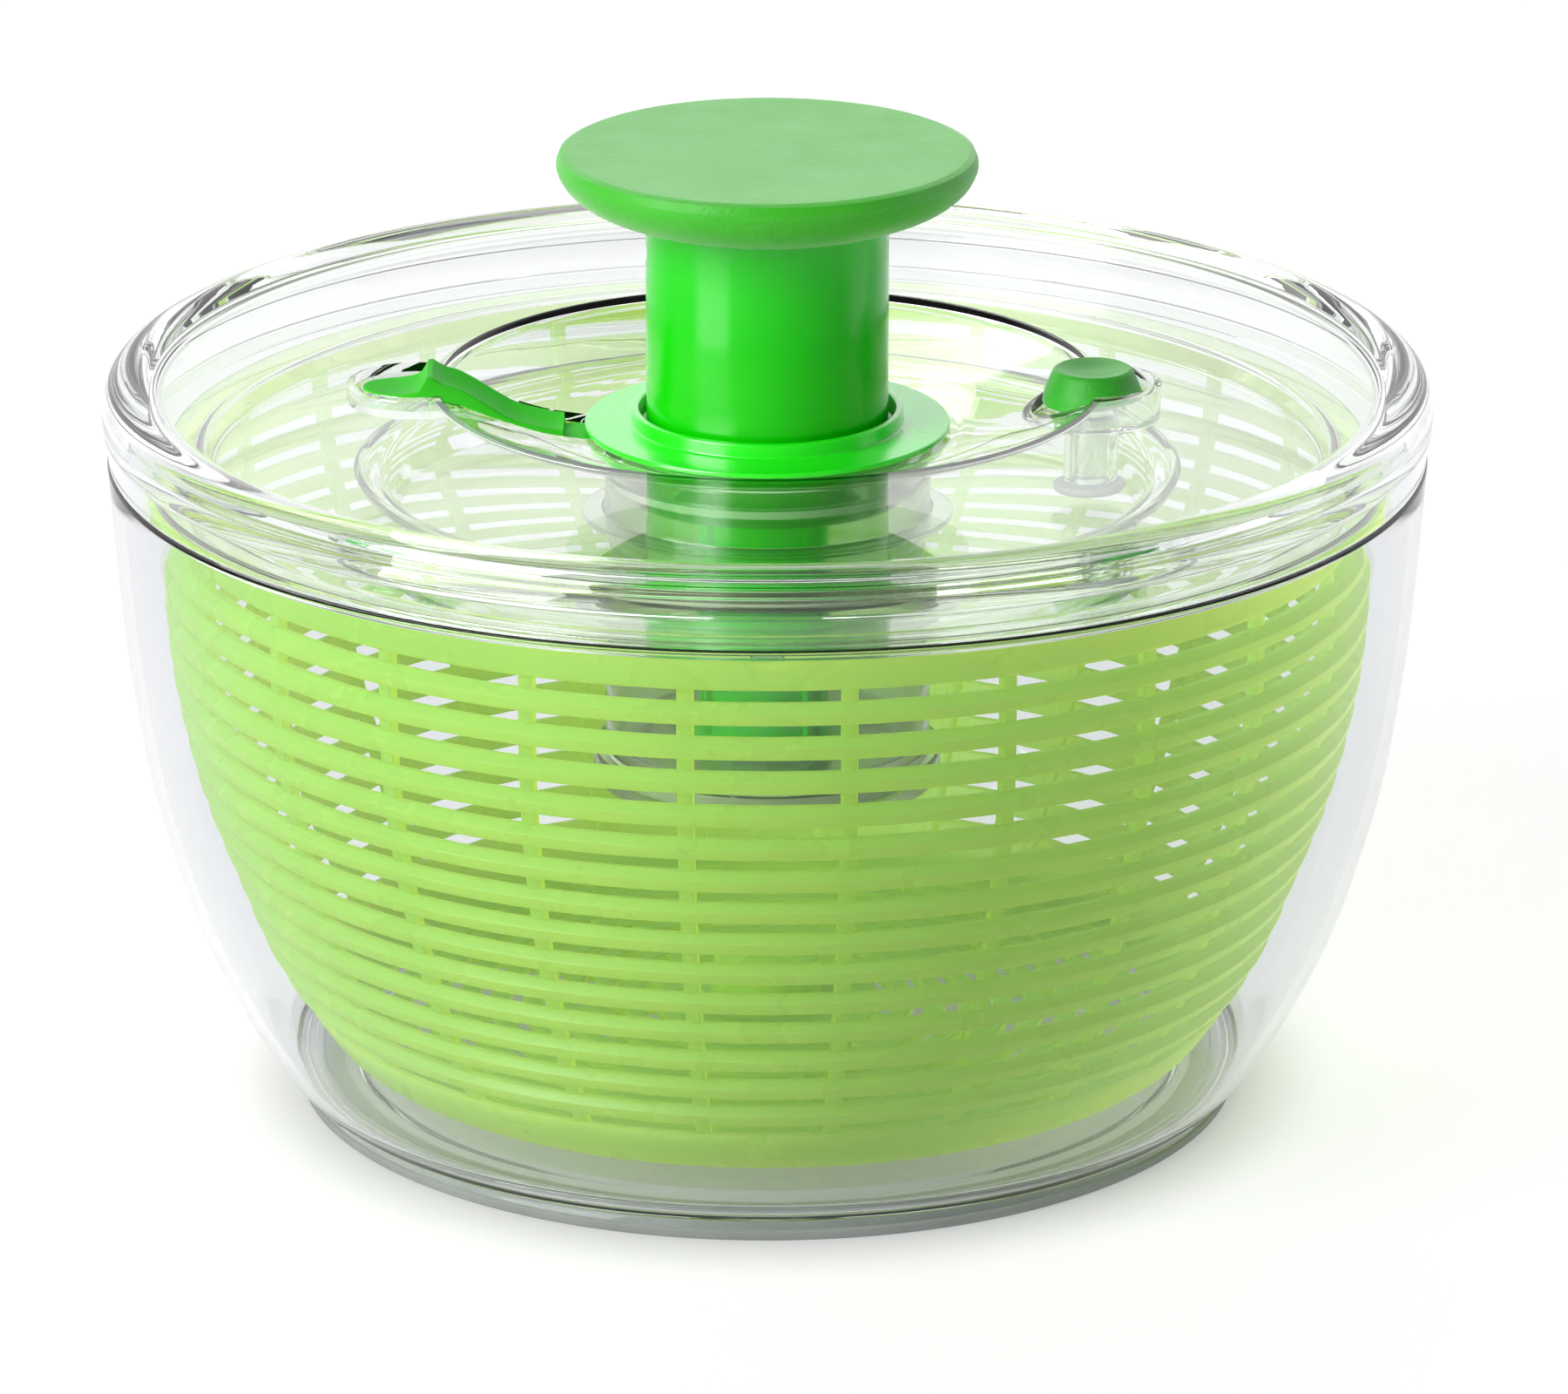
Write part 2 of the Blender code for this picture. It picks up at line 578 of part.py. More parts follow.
# ---------------------------------------------------------------- brake
def make_brake():
    axis_point = (BRAKE_X, 0, 0)
    cap = [
        (0, 149.3), (5.0, 149.6), (7.0, 150.3), (7.8, 150.1), (10.2, 145.2), (10.2, 143.2),
        (8.9, 143.2), (8.6, 147.2), (0, 147.2),
    ]
    add_node("brake_button", moved(turned(cap, MIDDLE_STEPS), axis_point), "button_plastic", axis_point)
    stem = [(0, 123.6), (3.3, 123.6), (3.3, 144.6), (4.6, 145.2), (4.6, 146.9), (0, 146.9)]
    add_node("brake_stem", moved(turned(stem, SMALL_STEPS), axis_point), "acetal", axis_point)
    pad = [(0, 121.0), (6.6, 121.0), (7.4, 121.8), (7.4, 123.3), (0, 123.3)]
    add_node("brake_pad", moved(turned(pad, MIDDLE_STEPS), axis_point), "grey_rubber", axis_point)
    add_node("brake_spring", moved(coil(6.4, 0.45, 139.7, 146.9, 3), axis_point), "spring_steel", axis_point)


# ---------------------------------------------------------------- lock slider
def make_lock():
    """Stations along X: place, half width, underside, top at the sides, hollow of the top."""
    stations = [
        (-26.4, 2.6, TONGUE_Z, 136.9, 0.0), (-32.6, 2.6, TONGUE_Z, 136.9, 0.0),
        (-33.0, 6.0, TONGUE_Z, 136.9, 0.0), (-40.9, 6.4, TONGUE_Z, 136.9, 0.0),
        (-41.1, 6.6, 135.4, 139.2, 1.0), (-44.0, 6.7, 136.1, 139.6, 1.3),
        (-50.3, 6.8, 138.9, 141.2, 1.2), (-54.6, 6.8, 140.9, 143.5, 1.2),
        (-58.9, 6.8, 142.1, 146.2, 1.3), (-62.3, 6.8, 142.9, 148.1, 1.5),
        (-65.2, 6.9, 143.4, 148.9, 0.8), (-67.6, 7.0, 143.5, 150.2, 0.2),
        (-68.6, 7.0, 143.6, 150.2, 0.2), (-70.2, 7.0, 143.9, 147.4, 0.6),
        (-74.0, 6.8, 143.9, 146.6, 0.5), (-78.0, 5.4, 144.0, 146.4, 0.3),
        (-80.2, 3.6, 144.1, 146.3, 0.1), (-81.4, 1.6, 144.3, 146.2, 0.0),
    ]
    rings = []
    for x, half, low, high, hollow in stations:
        rings.append([
            (x, -half, low), (x, half, low), (x, half, high),
            (x, 0, high - hollow), (x, -half, high),
        ])
    add_node("lock_slider", loft(rings), "green_plastic")


clear_scene()
materials = make_materials()
make_bowl()
make_basket()
make_lid()
make_collar()
make_drive()
make_spindle()
make_pump()
make_brake()
make_lock()
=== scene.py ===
import math

import bmesh
import bpy
from mathutils import Matrix, Vector


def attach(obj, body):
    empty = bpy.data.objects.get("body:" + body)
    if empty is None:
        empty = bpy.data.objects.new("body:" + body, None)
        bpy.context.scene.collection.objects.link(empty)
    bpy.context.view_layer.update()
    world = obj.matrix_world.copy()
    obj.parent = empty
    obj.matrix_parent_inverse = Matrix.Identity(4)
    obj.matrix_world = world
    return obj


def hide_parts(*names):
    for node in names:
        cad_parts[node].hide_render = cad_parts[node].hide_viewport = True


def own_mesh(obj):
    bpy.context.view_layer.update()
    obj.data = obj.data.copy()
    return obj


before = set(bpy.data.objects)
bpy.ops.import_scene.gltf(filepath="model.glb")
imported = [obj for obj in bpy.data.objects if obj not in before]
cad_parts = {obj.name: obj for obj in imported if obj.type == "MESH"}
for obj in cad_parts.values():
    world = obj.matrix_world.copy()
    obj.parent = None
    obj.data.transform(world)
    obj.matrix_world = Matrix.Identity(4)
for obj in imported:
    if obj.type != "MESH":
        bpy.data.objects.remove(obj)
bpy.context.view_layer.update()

# Salad spinner. Shapes are drawn in millimetres and made metres when a piece is finished.
mm = 0.001
fineGrain = 1200  # noise cells per metre, about 0.8 mm, the coarsest that still reads as grain
stroke = 38.0  # how far the knob goes down
strokeTurns = 1.5  # turns that the twisted rod makes in one stroke


# small tools for meshes

def roundedOutline(points, segments=3):
    # a closed outline as a face in the XZ plane; a third number rounds that corner
    bm = bmesh.new()
    corners = {}
    for across, up, *soft in points:
        vert = bm.verts.new((across, 0, up))
        if soft:
            corners.setdefault(soft[0], []).append(vert)
    bm.faces.new(bm.verts[:])
    for radius, verts in corners.items():
        bmesh.ops.bevel(
            bm, geom=verts, offset=radius, offset_type="OFFSET", affect="VERTICES",
            segments=segments, profile=0.5, material=-1, clamp_overlap=True,
        )
    return bm


def turned(points, steps=144, segments=3):
    # an outline of (radius, height) turned once round Z
    bm = roundedOutline(points, segments)
    bmesh.ops.delete(bm, geom=bm.faces[:], context="FACES_ONLY")
    onAxis = [e for e in bm.edges if all(abs(v.co.x) < 1e-5 for v in e.verts)]
    bmesh.ops.delete(bm, geom=onAxis, context="EDGES")
    bmesh.ops.spin(
        bm, geom=bm.verts[:] + bm.edges[:], cent=(0, 0, 0), axis=(0, 0, 1), dvec=(0, 0, 0),
        angle=math.tau, steps=steps, use_merge=True,
    )
    return closed(bm)


def closed(bm):
    bmesh.ops.remove_doubles(bm, verts=bm.verts, dist=0.0005)
    bmesh.ops.recalc_face_normals(bm, faces=bm.faces)
    return bm


def extruded(bm, direction):
    # the flat face in bm pulled along a direction into a closed solid
    pulled = bmesh.ops.extrude_face_region(bm, geom=bm.faces[:])
    verts = [g for g in pulled["geom"] if isinstance(g, bmesh.types.BMVert)]
    bmesh.ops.translate(bm, vec=direction, verts=verts)
    bmesh.ops.recalc_face_normals(bm, faces=bm.faces)
    return bm


def placed(bm, offset=(0, 0, 0), turn=0.0):
    bmesh.ops.rotate(bm, cent=(0, 0, 0), matrix=Matrix.Rotation(turn, 3, "Z"), verts=bm.verts)
    bmesh.ops.translate(bm, vec=offset, verts=bm.verts)
    return bm


def together(shapes):
    whole = bmesh.new()
    for shape in shapes:
        carrier = bpy.data.meshes.new("carrier")
        shape.to_mesh(carrier)
        shape.free()
        whole.from_mesh(carrier)
        bpy.data.meshes.remove(carrier)
    return whole


def roundTheAxis(make, count, first=0.0):
    return together([placed(make(), turn=first + math.tau * i / count) for i in range(count)])


def combined(bm, tool, operation="DIFFERENCE", solver="EXACT"):
    # two closed shapes cut or joined into one
    things = []
    for shape in (bm, tool):
        mesh = bpy.data.meshes.new("shape")
        shape.to_mesh(mesh)
        shape.free()
        thing = bpy.data.objects.new("shape", mesh)
        bpy.context.scene.collection.objects.link(thing)
        things.append(thing)
    step = things[0].modifiers.new("step", "BOOLEAN")
    step.operation = operation
    step.solver = solver
    step.object = things[1]
    bpy.context.view_layer.update()
    result = bmesh.new()
    result.from_object(things[0], bpy.context.evaluated_depsgraph_get())
    for thing in things:
        mesh = thing.data
        bpy.data.objects.remove(thing)
        bpy.data.meshes.remove(mesh)
    return result


def addPiece(name, bm, material, body, replaced=(), sharpAngle=32):
    bmesh.ops.scale(bm, vec=(mm, mm, mm), verts=bm.verts)
    mesh = bpy.data.meshes.new(name)
    bm.to_mesh(mesh)
    bm.free()
    piece = bpy.data.objects.new(name, mesh)
    bpy.context.scene.collection.objects.link(piece)
    mesh.materials.append(material)
    mesh.shade_smooth()
    mesh.set_sharp_from_angle(angle=math.radians(sharpAngle))
    flatten = piece.modifiers.new("flatFacesStayFlat", "WEIGHTED_NORMAL")
    flatten.keep_sharp = True
    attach(piece, body)
    if replaced:
        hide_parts(*replaced)
    return piece


def smoothRun(points, perSpan=5):
    # a Catmull-Rom curve through the points
    ends = [points[0], *points, points[-1]]
    run = []
    for i in range(1, len(ends) - 2):
        p0, p1, p2, p3 = (Vector(p) for p in ends[i - 1:i + 3])
        for k in range(perSpan):
            t = k / perSpan
            run.append(tuple(0.5 * (
                2 * p1 + (p2 - p0) * t + (2 * p0 - 5 * p1 + 4 * p2 - p3) * t ** 2
                + (3 * p1 - p0 - 3 * p2 + p3) * t ** 3
            )))
    return run + [tuple(points[-1])]


def offsetRun(points, distance):
    # the run moved to its left side
    moved = []
    for i, (across, up) in enumerate(points):
        along = (Vector(points[min(i + 1, len(points) - 1)]) - Vector(points[max(i - 1, 0)])).normalized()
        moved.append((across - along.y * distance, up + along.x * distance))
    return moved


def readRun(points, height):
    # radius of a rising run at a height
    for (r0, z0), (r1, z1) in zip(points, points[1:]):
        if z0 <= height <= z1:
            return r0 + (r1 - r0) * (height - z0) / (z1 - z0)
    return points[0][0] if height < points[0][1] else points[-1][0]


# small tools for materials

def linear(hexColour, alpha=1.0):
    # sRGB hex to the linear colour that shaders work in
    channels = [int(hexColour[i:i + 2], 16) / 255 for i in (1, 3, 5)]
    return (*[c / 12.92 if c <= 0.04045 else ((c + 0.055) / 1.055) ** 2.4 for c in channels], alpha)


def addNode(tree, kind, values=None, links=None, **settings):
    made = tree.nodes.new(kind)
    for name, value in settings.items():
        setattr(made, name, value)
    for socket, value in (values or {}).items():
        made.inputs[socket].default_value = value
    for socket, source in (links or {}).items():
        tree.links.new(source, made.inputs[socket])
    return made


def startMaterial(name, values):
    material = bpy.data.materials.new(name)
    material.use_nodes = True
    tree = material.node_tree
    shader = tree.nodes["Principled BSDF"]
    for socket, value in values.items():
        shader.inputs[socket].default_value = value
    place = addNode(tree, "ShaderNodeTexCoord").outputs["Object"]
    return material, tree, shader, place


def mottle(tree, shader, place, colours, scale, detail=3.0):
    # the colour drifts between two tones as the melt did in the mould
    cloud = addNode(tree, "ShaderNodeTexNoise", {"Scale": scale, "Detail": detail}, {"Vector": place})
    ramp = addNode(tree, "ShaderNodeValToRGB", links={"Fac": cloud.outputs["Fac"]})
    ramp.color_ramp.elements[0].position = 0.3
    ramp.color_ramp.elements[1].position = 0.7
    for element, colour in zip(ramp.color_ramp.elements, colours):
        element.color = linear(colour)
    tree.links.new(ramp.outputs["Color"], shader.inputs["Base Color"])


def patchyRoughness(tree, shader, place, low, high, scale):
    # handling leaves some patches duller than others
    cloud = addNode(tree, "ShaderNodeTexNoise", {"Scale": scale, "Detail": 4.0}, {"Vector": place})
    spread = addNode(
        tree, "ShaderNodeMapRange", {"From Min": 0.3, "From Max": 0.7, "To Min": low, "To Max": high},
        {"Value": cloud.outputs["Fac"]},
    )
    tree.links.new(spread.outputs["Result"], shader.inputs["Roughness"])


def grain(tree, shader, place, scale, strength, depth, detail=2.0):
    noise = addNode(tree, "ShaderNodeTexNoise", {"Scale": scale, "Detail": detail}, {"Vector": place})
    bump = addNode(
        tree, "ShaderNodeBump", {"Strength": strength, "Distance": depth}, {"Height": noise.outputs["Fac"]}
    )
    tree.links.new(bump.outputs["Normal"], shader.inputs["Normal"])


def passLight(tree, shader, colour, share):
    # a thin wall shows part of the light that falls on its far side
    through = addNode(tree, "ShaderNodeBsdfTranslucent", {"Color": linear(colour)})
    mix = addNode(tree, "ShaderNodeMixShader", {0: share}, {
        1: shader.outputs["BSDF"], 2: through.outputs["BSDF"],
    })
    return mix.outputs["Shader"]


def letLampsThrough(tree, shown, tint):
    # shadow rays pass clear plastic, so that what is inside is lit as it is through a thin wall
    clear = addNode(tree, "ShaderNodeBsdfTransparent", {"Color": linear(tint)})
    path = addNode(tree, "ShaderNodeLightPath")
    mix = addNode(tree, "ShaderNodeMixShader", links={
        0: path.outputs["Is Shadow Ray"], 1: shown, 2: clear.outputs["BSDF"],
    })
    tree.links.new(mix.outputs["Shader"], tree.nodes["Material Output"].inputs["Surface"])


def makeMaterials():
    made = {}

    # Styrene acrylonitrile, injection moulded in a polished tool: water clear, hard edged, high gloss.
    # The bowl's wall is thicker and a touch greyer, and mirrors less of what stands in front of it.
    sanKinds = {
        "clear": ("clearStyreneAcrylonitrile", "#FCFDFD", "#F8FBFA", "#FFFFFF", "#FBFDFC"),
        "bowl": ("thickStyreneAcrylonitrile", "#F0F1F3", "#EBEDEF", "#A8A8A8", "#F9FBFA"),
    }
    for key, (name, light, dark, mirror, shade) in sanKinds.items():
        san = {"Transmission Weight": 1.0, "IOR": 1.56, "Specular Tint": linear(mirror)}
        material, tree, shader, place = startMaterial(name, san)
        mottle(tree, shader, place, (light, dark), 9)
        patchyRoughness(tree, shader, place, 0.0, 0.012, 14)
        grain(tree, shader, place, 22, 0.002, 0.0006, 1.0)
        letLampsThrough(tree, shader.outputs["BSDF"], shade)
        made[key] = material

    # The same plastic with a light smoke tint and a satin inside, which greys what is behind it
    smoked = {"Transmission Weight": 1.0, "IOR": 1.56}
    material, tree, shader, place = startMaterial("smokedStyreneAcrylonitrile", smoked)
    mottle(tree, shader, place, ("#DDE5D8", "#D0DBCC"), 12)
    patchyRoughness(tree, shader, place, 0.05, 0.14, 30)
    letLampsThrough(tree, shader.outputs["BSDF"], "#D4DDD4")
    made["smoke"] = material

    # Polypropylene, dyed lime and left translucent: milky, waxy gloss, yellower where light comes through
    milky = {"IOR": 1.49, "Transmission Weight": 0.12}
    material, tree, shader, place = startMaterial("limePolypropylene", milky)
    mottle(tree, shader, place, ("#9EDA7E", "#92D072"), 16)
    patchyRoughness(tree, shader, place, 0.24, 0.36, 60)
    grain(tree, shader, place, 260, 0.05, 0.0002)
    letLampsThrough(tree, passLight(tree, shader, "#EEF48B", 0.62), "#D2DCA0")
    made["lime"] = material

    # ABS, bright green masterbatch, polished tool: opaque, high gloss with faint flow marks
    material, tree, shader, place = startMaterial("greenAbs", {"IOR": 1.53})
    mottle(tree, shader, place, ("#08CC00", "#12D506"), 30)
    patchyRoughness(tree, shader, place, 0.16, 0.26, 45)
    grain(tree, shader, place, 150, 0.04, 0.0002)
    made["green"] = material

    # The slider is the same green with a satin tool, duller where the thumb pushes it
    material, tree, shader, place = startMaterial("satinGreenAbs", {"IOR": 1.53, "Specular IOR Level": 0.04})
    mottle(tree, shader, place, ("#30BE20", "#3EC82C"), 60)
    patchyRoughness(tree, shader, place, 0.4, 0.5, 90)
    made["satin"] = material

    # The collar's ABS has a harder polish, so that its flat flange mirrors the bright wall behind. Its green
    # is a lighter copy of the plunger's green ABS, painted light for the strong light on the collar's front
    material, tree, shader, place = startMaterial(
        "polishedGreenAbsPaintedLighter", {"IOR": 1.53, "Coat Weight": 1.0, "Coat IOR": 1.6, "Coat Roughness": 0.2}
    )
    # painted light: a lighter green than the plunger's ABS, standing in for the light that falls on the
    # collar
    mottle(tree, shader, place, ("#14F40C", "#20FA16"), 30)
    patchyRoughness(tree, shader, place, 0.22, 0.3, 45)
    made["collar"] = material

    # Thermoplastic elastomer on a spark eroded tool: matt, dry to the touch, pale at a low angle
    touch = {"IOR": 1.5, "Sheen Weight": 0.52, "Sheen Roughness": 0.45, "Sheen Tint": linear("#E8FFE0")}
    material, tree, shader, place = startMaterial("softTouchElastomer", touch)
    mottle(tree, shader, place, ("#30B40E", "#3CBC18"), 40)
    patchyRoughness(tree, shader, place, 0.42, 0.56, 90)
    grain(tree, shader, place, fineGrain, 0.35, 0.0003)
    made["touch"] = material

    # The button's elastomer is a darker batch, rubbed a little smoother on its crown
    touch = {"IOR": 1.5, "Sheen Weight": 0.32, "Sheen Roughness": 0.5, "Sheen Tint": linear("#D8F6D0")}
    material, tree, shader, place = startMaterial("buttonElastomer", touch)
    mottle(tree, shader, place, ("#2CAE20", "#3AB82C"), 80)
    patchyRoughness(tree, shader, place, 0.4, 0.55, 150)
    grain(tree, shader, place, fineGrain, 0.3, 0.0003)
    made["button"] = material

    # Acetal, natural: opaque white with a little depth, satin and slippery
    material, tree, shader, place = startMaterial("naturalAcetal", {"IOR": 1.48})
    mottle(tree, shader, place, ("#DADBD5", "#CFD0C9"), 60)
    patchyRoughness(tree, shader, place, 0.28, 0.4, 120)
    made["acetal"] = material

    # Thermoplastic rubber, unpigmented: cloudy grey, matt, grips the worktop
    material, tree, shader, place = startMaterial("cloudyRubber", {"IOR": 1.5})
    mottle(tree, shader, place, ("#B2B4B4", "#A4A6A6"), 70)
    patchyRoughness(tree, shader, place, 0.45, 0.6, 120)
    grain(tree, shader, place, fineGrain, 0.2, 0.0002)
    letLampsThrough(tree, passLight(tree, shader, "#C0C6C2", 0.4), "#C8CCCA")
    made["rubber"] = material

    # Drawn stainless wire and rolled bar: bright metal with fine drawing marks
    material, tree, shader, place = startMaterial("drawnStainlessSteel", {"Metallic": 1.0})
    mottle(tree, shader, place, ("#C9CBCC", "#B4B7B9"), 200)
    patchyRoughness(tree, shader, place, 0.16, 0.3, 400)
    grain(tree, shader, place, 900, 0.08, 0.0001)
    made["steel"] = material
    return made


materials = makeMaterials()
print("materials made:", len(materials))


# bowl

bowlSizes = {
    "side": [
        (98.7, 6.0), (101.84, 8.8), (106.44, 16), (111.78, 26), (117.13, 38), (121.69, 52),
        (125.87, 68), (128.81, 86), (131.0, 105), (133.1, 134.1),
    ],
    "wall": 2.4,
    "floor": 7.6,
    "under": 4.9,
    "steps": 192,
}


def makeBowl(s):
    side = smoothRun(s["side"], 4)
    inner = [p for p in offsetRun(side, s["wall"]) if p[1] > s["floor"] + 2.5]
    outline = [(0, s["under"]), (85, s["under"], 0.8), (86, 2.3, 0.4), (92, 2.3), (92, 5.4, 0.4)]
    outline += [(94.6, 5.4, 0.4), (94.6, 2.3), (96.4, 2.3, 0.5), (97.3, 4.1)] + side[:-1]
    outline += [(side[-1][0], side[-1][1], 0.7), (inner[-1][0], side[-1][1], 0.7)] + inner[-2::-1]
    outline += [(97.5, s["floor"], 3.0), (9, s["floor"], 0.8), (8, 10.6, 0.5), (3, 10.6, 0.3)]
    outline += [(3, 6.4), (0, 6.4)]
    addPiece("bowlShell", turned(outline, s["steps"]), materials["bowl"], "bowl", ["bowl"])

    foot = [(88, 0, 0.4), (96.2, 0, 0.5), (96.6, 2, 0.3), (94.2, 2), (94.2, 5, 0.4), (92.4, 5, 0.4)]
    foot += [(92.4, 2), (88, 2, 0.3)]
    foot = turned(foot, s["steps"])
    addPiece("footRing", foot, materials["rubber"], "bowl", ["non_slip_ring"])

    pin = [(0, 6.7), (2.7, 6.7, 0.2), (2.7, 18.4, 0.6), (1.6, 19.6, 0.5), (0, 20)]
    addPiece("pivotPinTurned", turned(pin, 48), materials["steel"], "bowl", ["pivot_pin"])


# basket

basketSizes = {
    "side": [
        (88.6, 13.3), (92.4, 16.4), (95.4, 20.4), (98.6, 26), (103.8, 36), (108.6, 48), (113.7, 62),
        (117.6, 76), (120.3, 90), (121.6, 104), (121.7, 124), (121.8, 131),
    ],
    "rows": 15,
    "firstGap": 121.5,
    "pitch": 6.93,
    "gap": 2.9,
    "wall": 3.0,
    "ribs": 24,
    "ribWidth": 3.2,
    "firstRib": 7.5,
    "steps": 192,
    "floorBottom": 12.8,
    "floorTop": 15,
    "floorRadius": 80,
    "hubRadius": 26,
    "floorRings": 8,
    "floorGap": 2.6,
}


def makeBasket(s):
    side = smoothRun(s["side"], 4)

    def wall(height, out):
        return readRun(side, height) + out

    shells = []
    under = s["floorBottom"]
    floor = s["floorTop"]
    rimOfFloor = s["floorRadius"]
    gapBottom = s["firstGap"] - s["gap"] / 2
    bandFoot = s["firstGap"] + s["gap"] / 2
    rim = [(122.4, 131, 0.4), (122.4, 129.6, 0.5), (121.9, 128.6), (122.0, bandFoot + 1.2)]
    rim += [(121.6, bandFoot, 0.5), (119.0, bandFoot, 0.5), (119.2, 131, 0.5)]
    shells.append(turned(rim, s["steps"], 2))
    for row in range(s["rows"] - 1):
        top = gapBottom - s["pitch"] * row
        bottom = top - (s["pitch"] - s["gap"])
        # an upright face under a wide slanted top, with a fine rounded lip between them
        slat = [
            (wall(bottom, 0.0), bottom, 0.3), (wall(bottom + 0.9, 0.4), bottom + 0.9),
            (wall(top - 1.5, 0.5), top - 1.5, 0.22), (wall(top, -1.4), top, 0.2),
            (wall(top, -s["wall"]), top, 0.3), (wall(bottom, -s["wall"]), bottom, 0.3),
        ]
        shells.append(turned(slat, s["steps"], 2))
    low = gapBottom - s["pitch"] * (s["rows"] - 1)
    outer = [p for p in side if p[1] < low - 0.8]
    base = [(wall(low, -0.6), low, 0.4)] + outer[::-1] + [(87, under, 1.0), (rimOfFloor, under, 0.4)]
    base += [(rimOfFloor, floor, 0.4), (85.6, floor, 2.0)]
    base += [(r - 2.5, z + 0.6) for r, z in outer[4:]] + [(wall(low, -2.6), low, 0.4)]
    shells.append(turned(base, s["steps"], 2))
    step = (rimOfFloor - s["hubRadius"]) / s["floorRings"]
    for i in range(s["floorRings"]):
        outside = rimOfFloor - step * i - s["floorGap"]
        inside = rimOfFloor - step * (i + 1)
        ring = [(inside, under, 0.4), (outside, under, 0.4), (outside, floor, 0.4), (inside, floor, 0.4)]
        shells.append(turned(ring, s["steps"], 1))
    disc = s["hubRadius"] - s["floorGap"]
    hub = [(8.2, under, 0.4), (disc, under, 0.4), (disc, floor, 0.4), (11.6, floor, 1.5), (11, 24.6, 0.8)]
    hub += [(0, 24.6)]
    hub += [(0, 22.6), (8.2, 22.6, 0.4)]
    shells.append(turned(hub, 96, 2))
    basket = together(shells)

    # ribs stand behind the slats and end in a round toe on the base band
    run = [(readRun(side, z), z) for z in [17.5 + 3.5 * i for i in range(31)]] + [(121.6, 127)]
    back = [(r - 4.0, z) for r, z in run]
    outline = [(run[0][0] - 1.2, run[0][1])] + [(r - 1.5, z) for r, z in run[1:]] + back[::-1]

    def rib():
        bm = roundedOutline(outline)
        bmesh.ops.translate(bm, vec=(0, -s["ribWidth"] / 2, 0), verts=bm.verts)
        bm = extruded(bm, (0, s["ribWidth"], 0))
        edges = [e for e in bm.edges if abs(e.verts[0].co.y - e.verts[1].co.y) < 1e-6]
        bmesh.ops.bevel(
            bm, geom=edges, offset=0.7, affect="EDGES", segments=2, profile=0.5, material=-1,
        )
        return bm

    ribs = roundTheAxis(rib, s["ribs"], math.radians(s["firstRib"]))
    basket = combined(basket, ribs, "UNION", "MANIFOLD")

    def spoke():
        bar = roundedOutline([(10.5, 13.0), (81, 13.0), (81, 14.7), (10.5, 14.7)])
        bmesh.ops.translate(bar, vec=(0, -1.4, 0), verts=bar.verts)
        return extruded(bar, (0, 2.8, 0))

    spokes = roundTheAxis(spoke, s["ribs"] // 2, math.radians(s["firstRib"]))
    basket = combined(basket, spokes, "UNION", "MANIFOLD")

    def notch():
        bm = bmesh.new()
        bmesh.ops.create_cube(bm, size=1)
        bmesh.ops.scale(bm, vec=(8, 6.4, 4), verts=bm.verts)
        return placed(bm, (121, 0, 130.4))

    basket = combined(basket, roundTheAxis(notch, 4), "DIFFERENCE", "MANIFOLD")
    addPiece("slattedBasket", basket, materials["lime"], "basket", ["basket"], 24)

    bush = [(0, 22.3), (7.8, 22.3, 0.5), (7.8, 11.2, 0.5), (3.1, 11.2, 0.3), (3.1, 20.3), (0, 20.3)]
    bush = turned(bush, 64)
    addPiece("pivotBushTurned", bush, materials["acetal"], "basket_bearing", ["pivot_bush"])


makeBowl(bowlSizes)
print("bowl made")
makeBasket(basketSizes)
print("basket made")


# lid

lidSizes = {
    "dish": [(38, 137.9), (46, 139.2), (55, 142.1), (61, 144.4), (65.6, 146.4)],
    "recess": 66.6,
    "plate": 147.7,
    "thick": 2.2,
    "bore": 28.4,
    "brakeX": 65.6,
    "pocket": 13.8,
    "pocketWall": 1.4,
    "pocketFloor": 138.0,
    "thumbX": -71.0,
    "thumb": 12.5,
    "channel": 8.6,
    "troughWall": 1.4,
    "troughFloor": [(-84, 143.6), (-64, 143.0), (-54, 140.2), (-44, 135.6), (-40, 135.0)],
    "steps": 192,
}


def troughHeight(s, x):
    path = s["troughFloor"]
    for (x0, z0), (x1, z1) in zip(path, path[1:]):
        if x0 <= x <= x1:
            return z0 + (z1 - z0) * (x - x0) / (x1 - x0)
    return path[0][1] if x < path[0][0] else path[-1][1]


def troughShape(s, grow, drop, top):
    # keyhole seen from above: a round thumb end and a narrower channel to the bore
    radius = s["thumb"] + grow
    half = s["channel"] + grow
    opening = math.asin(half / radius)
    sweep = math.tau - 2 * opening
    bm = bmesh.new()
    bm.verts.new((-27, half, top))
    for i in range(41):
        angle = opening + sweep * i / 40
        bm.verts.new((s["thumbX"] + radius * math.cos(angle), radius * math.sin(angle), top))
    bm.verts.new((-27, -half, top))
    bm.faces.new(bm.verts[:])
    bmesh.ops.recalc_face_normals(bm, faces=bm.faces)
    for x in (-40, -42, -44, -47, -50, -54, -57, -60, -64, -68, -74, -80):
        bmesh.ops.bisect_plane(
            bm, geom=bm.verts[:] + bm.edges[:] + bm.faces[:], plane_co=(x, 0, 0), plane_no=(1, 0, 0)
        )
    topVerts = set(bm.verts)
    extruded(bm, (0, 0, -10))
    for vert in bm.verts:
        if vert not in topVerts:
            vert.co.z = troughHeight(s, vert.co.x) - drop
    return closed(bm)


def post(radius, bottom, top, x, steps=72, soft=0.0):
    corner = (soft,) if soft else ()
    return placed(turned([(0, bottom), (radius, bottom, *corner), (radius, top), (0, top)], steps), (x, 0, 0))


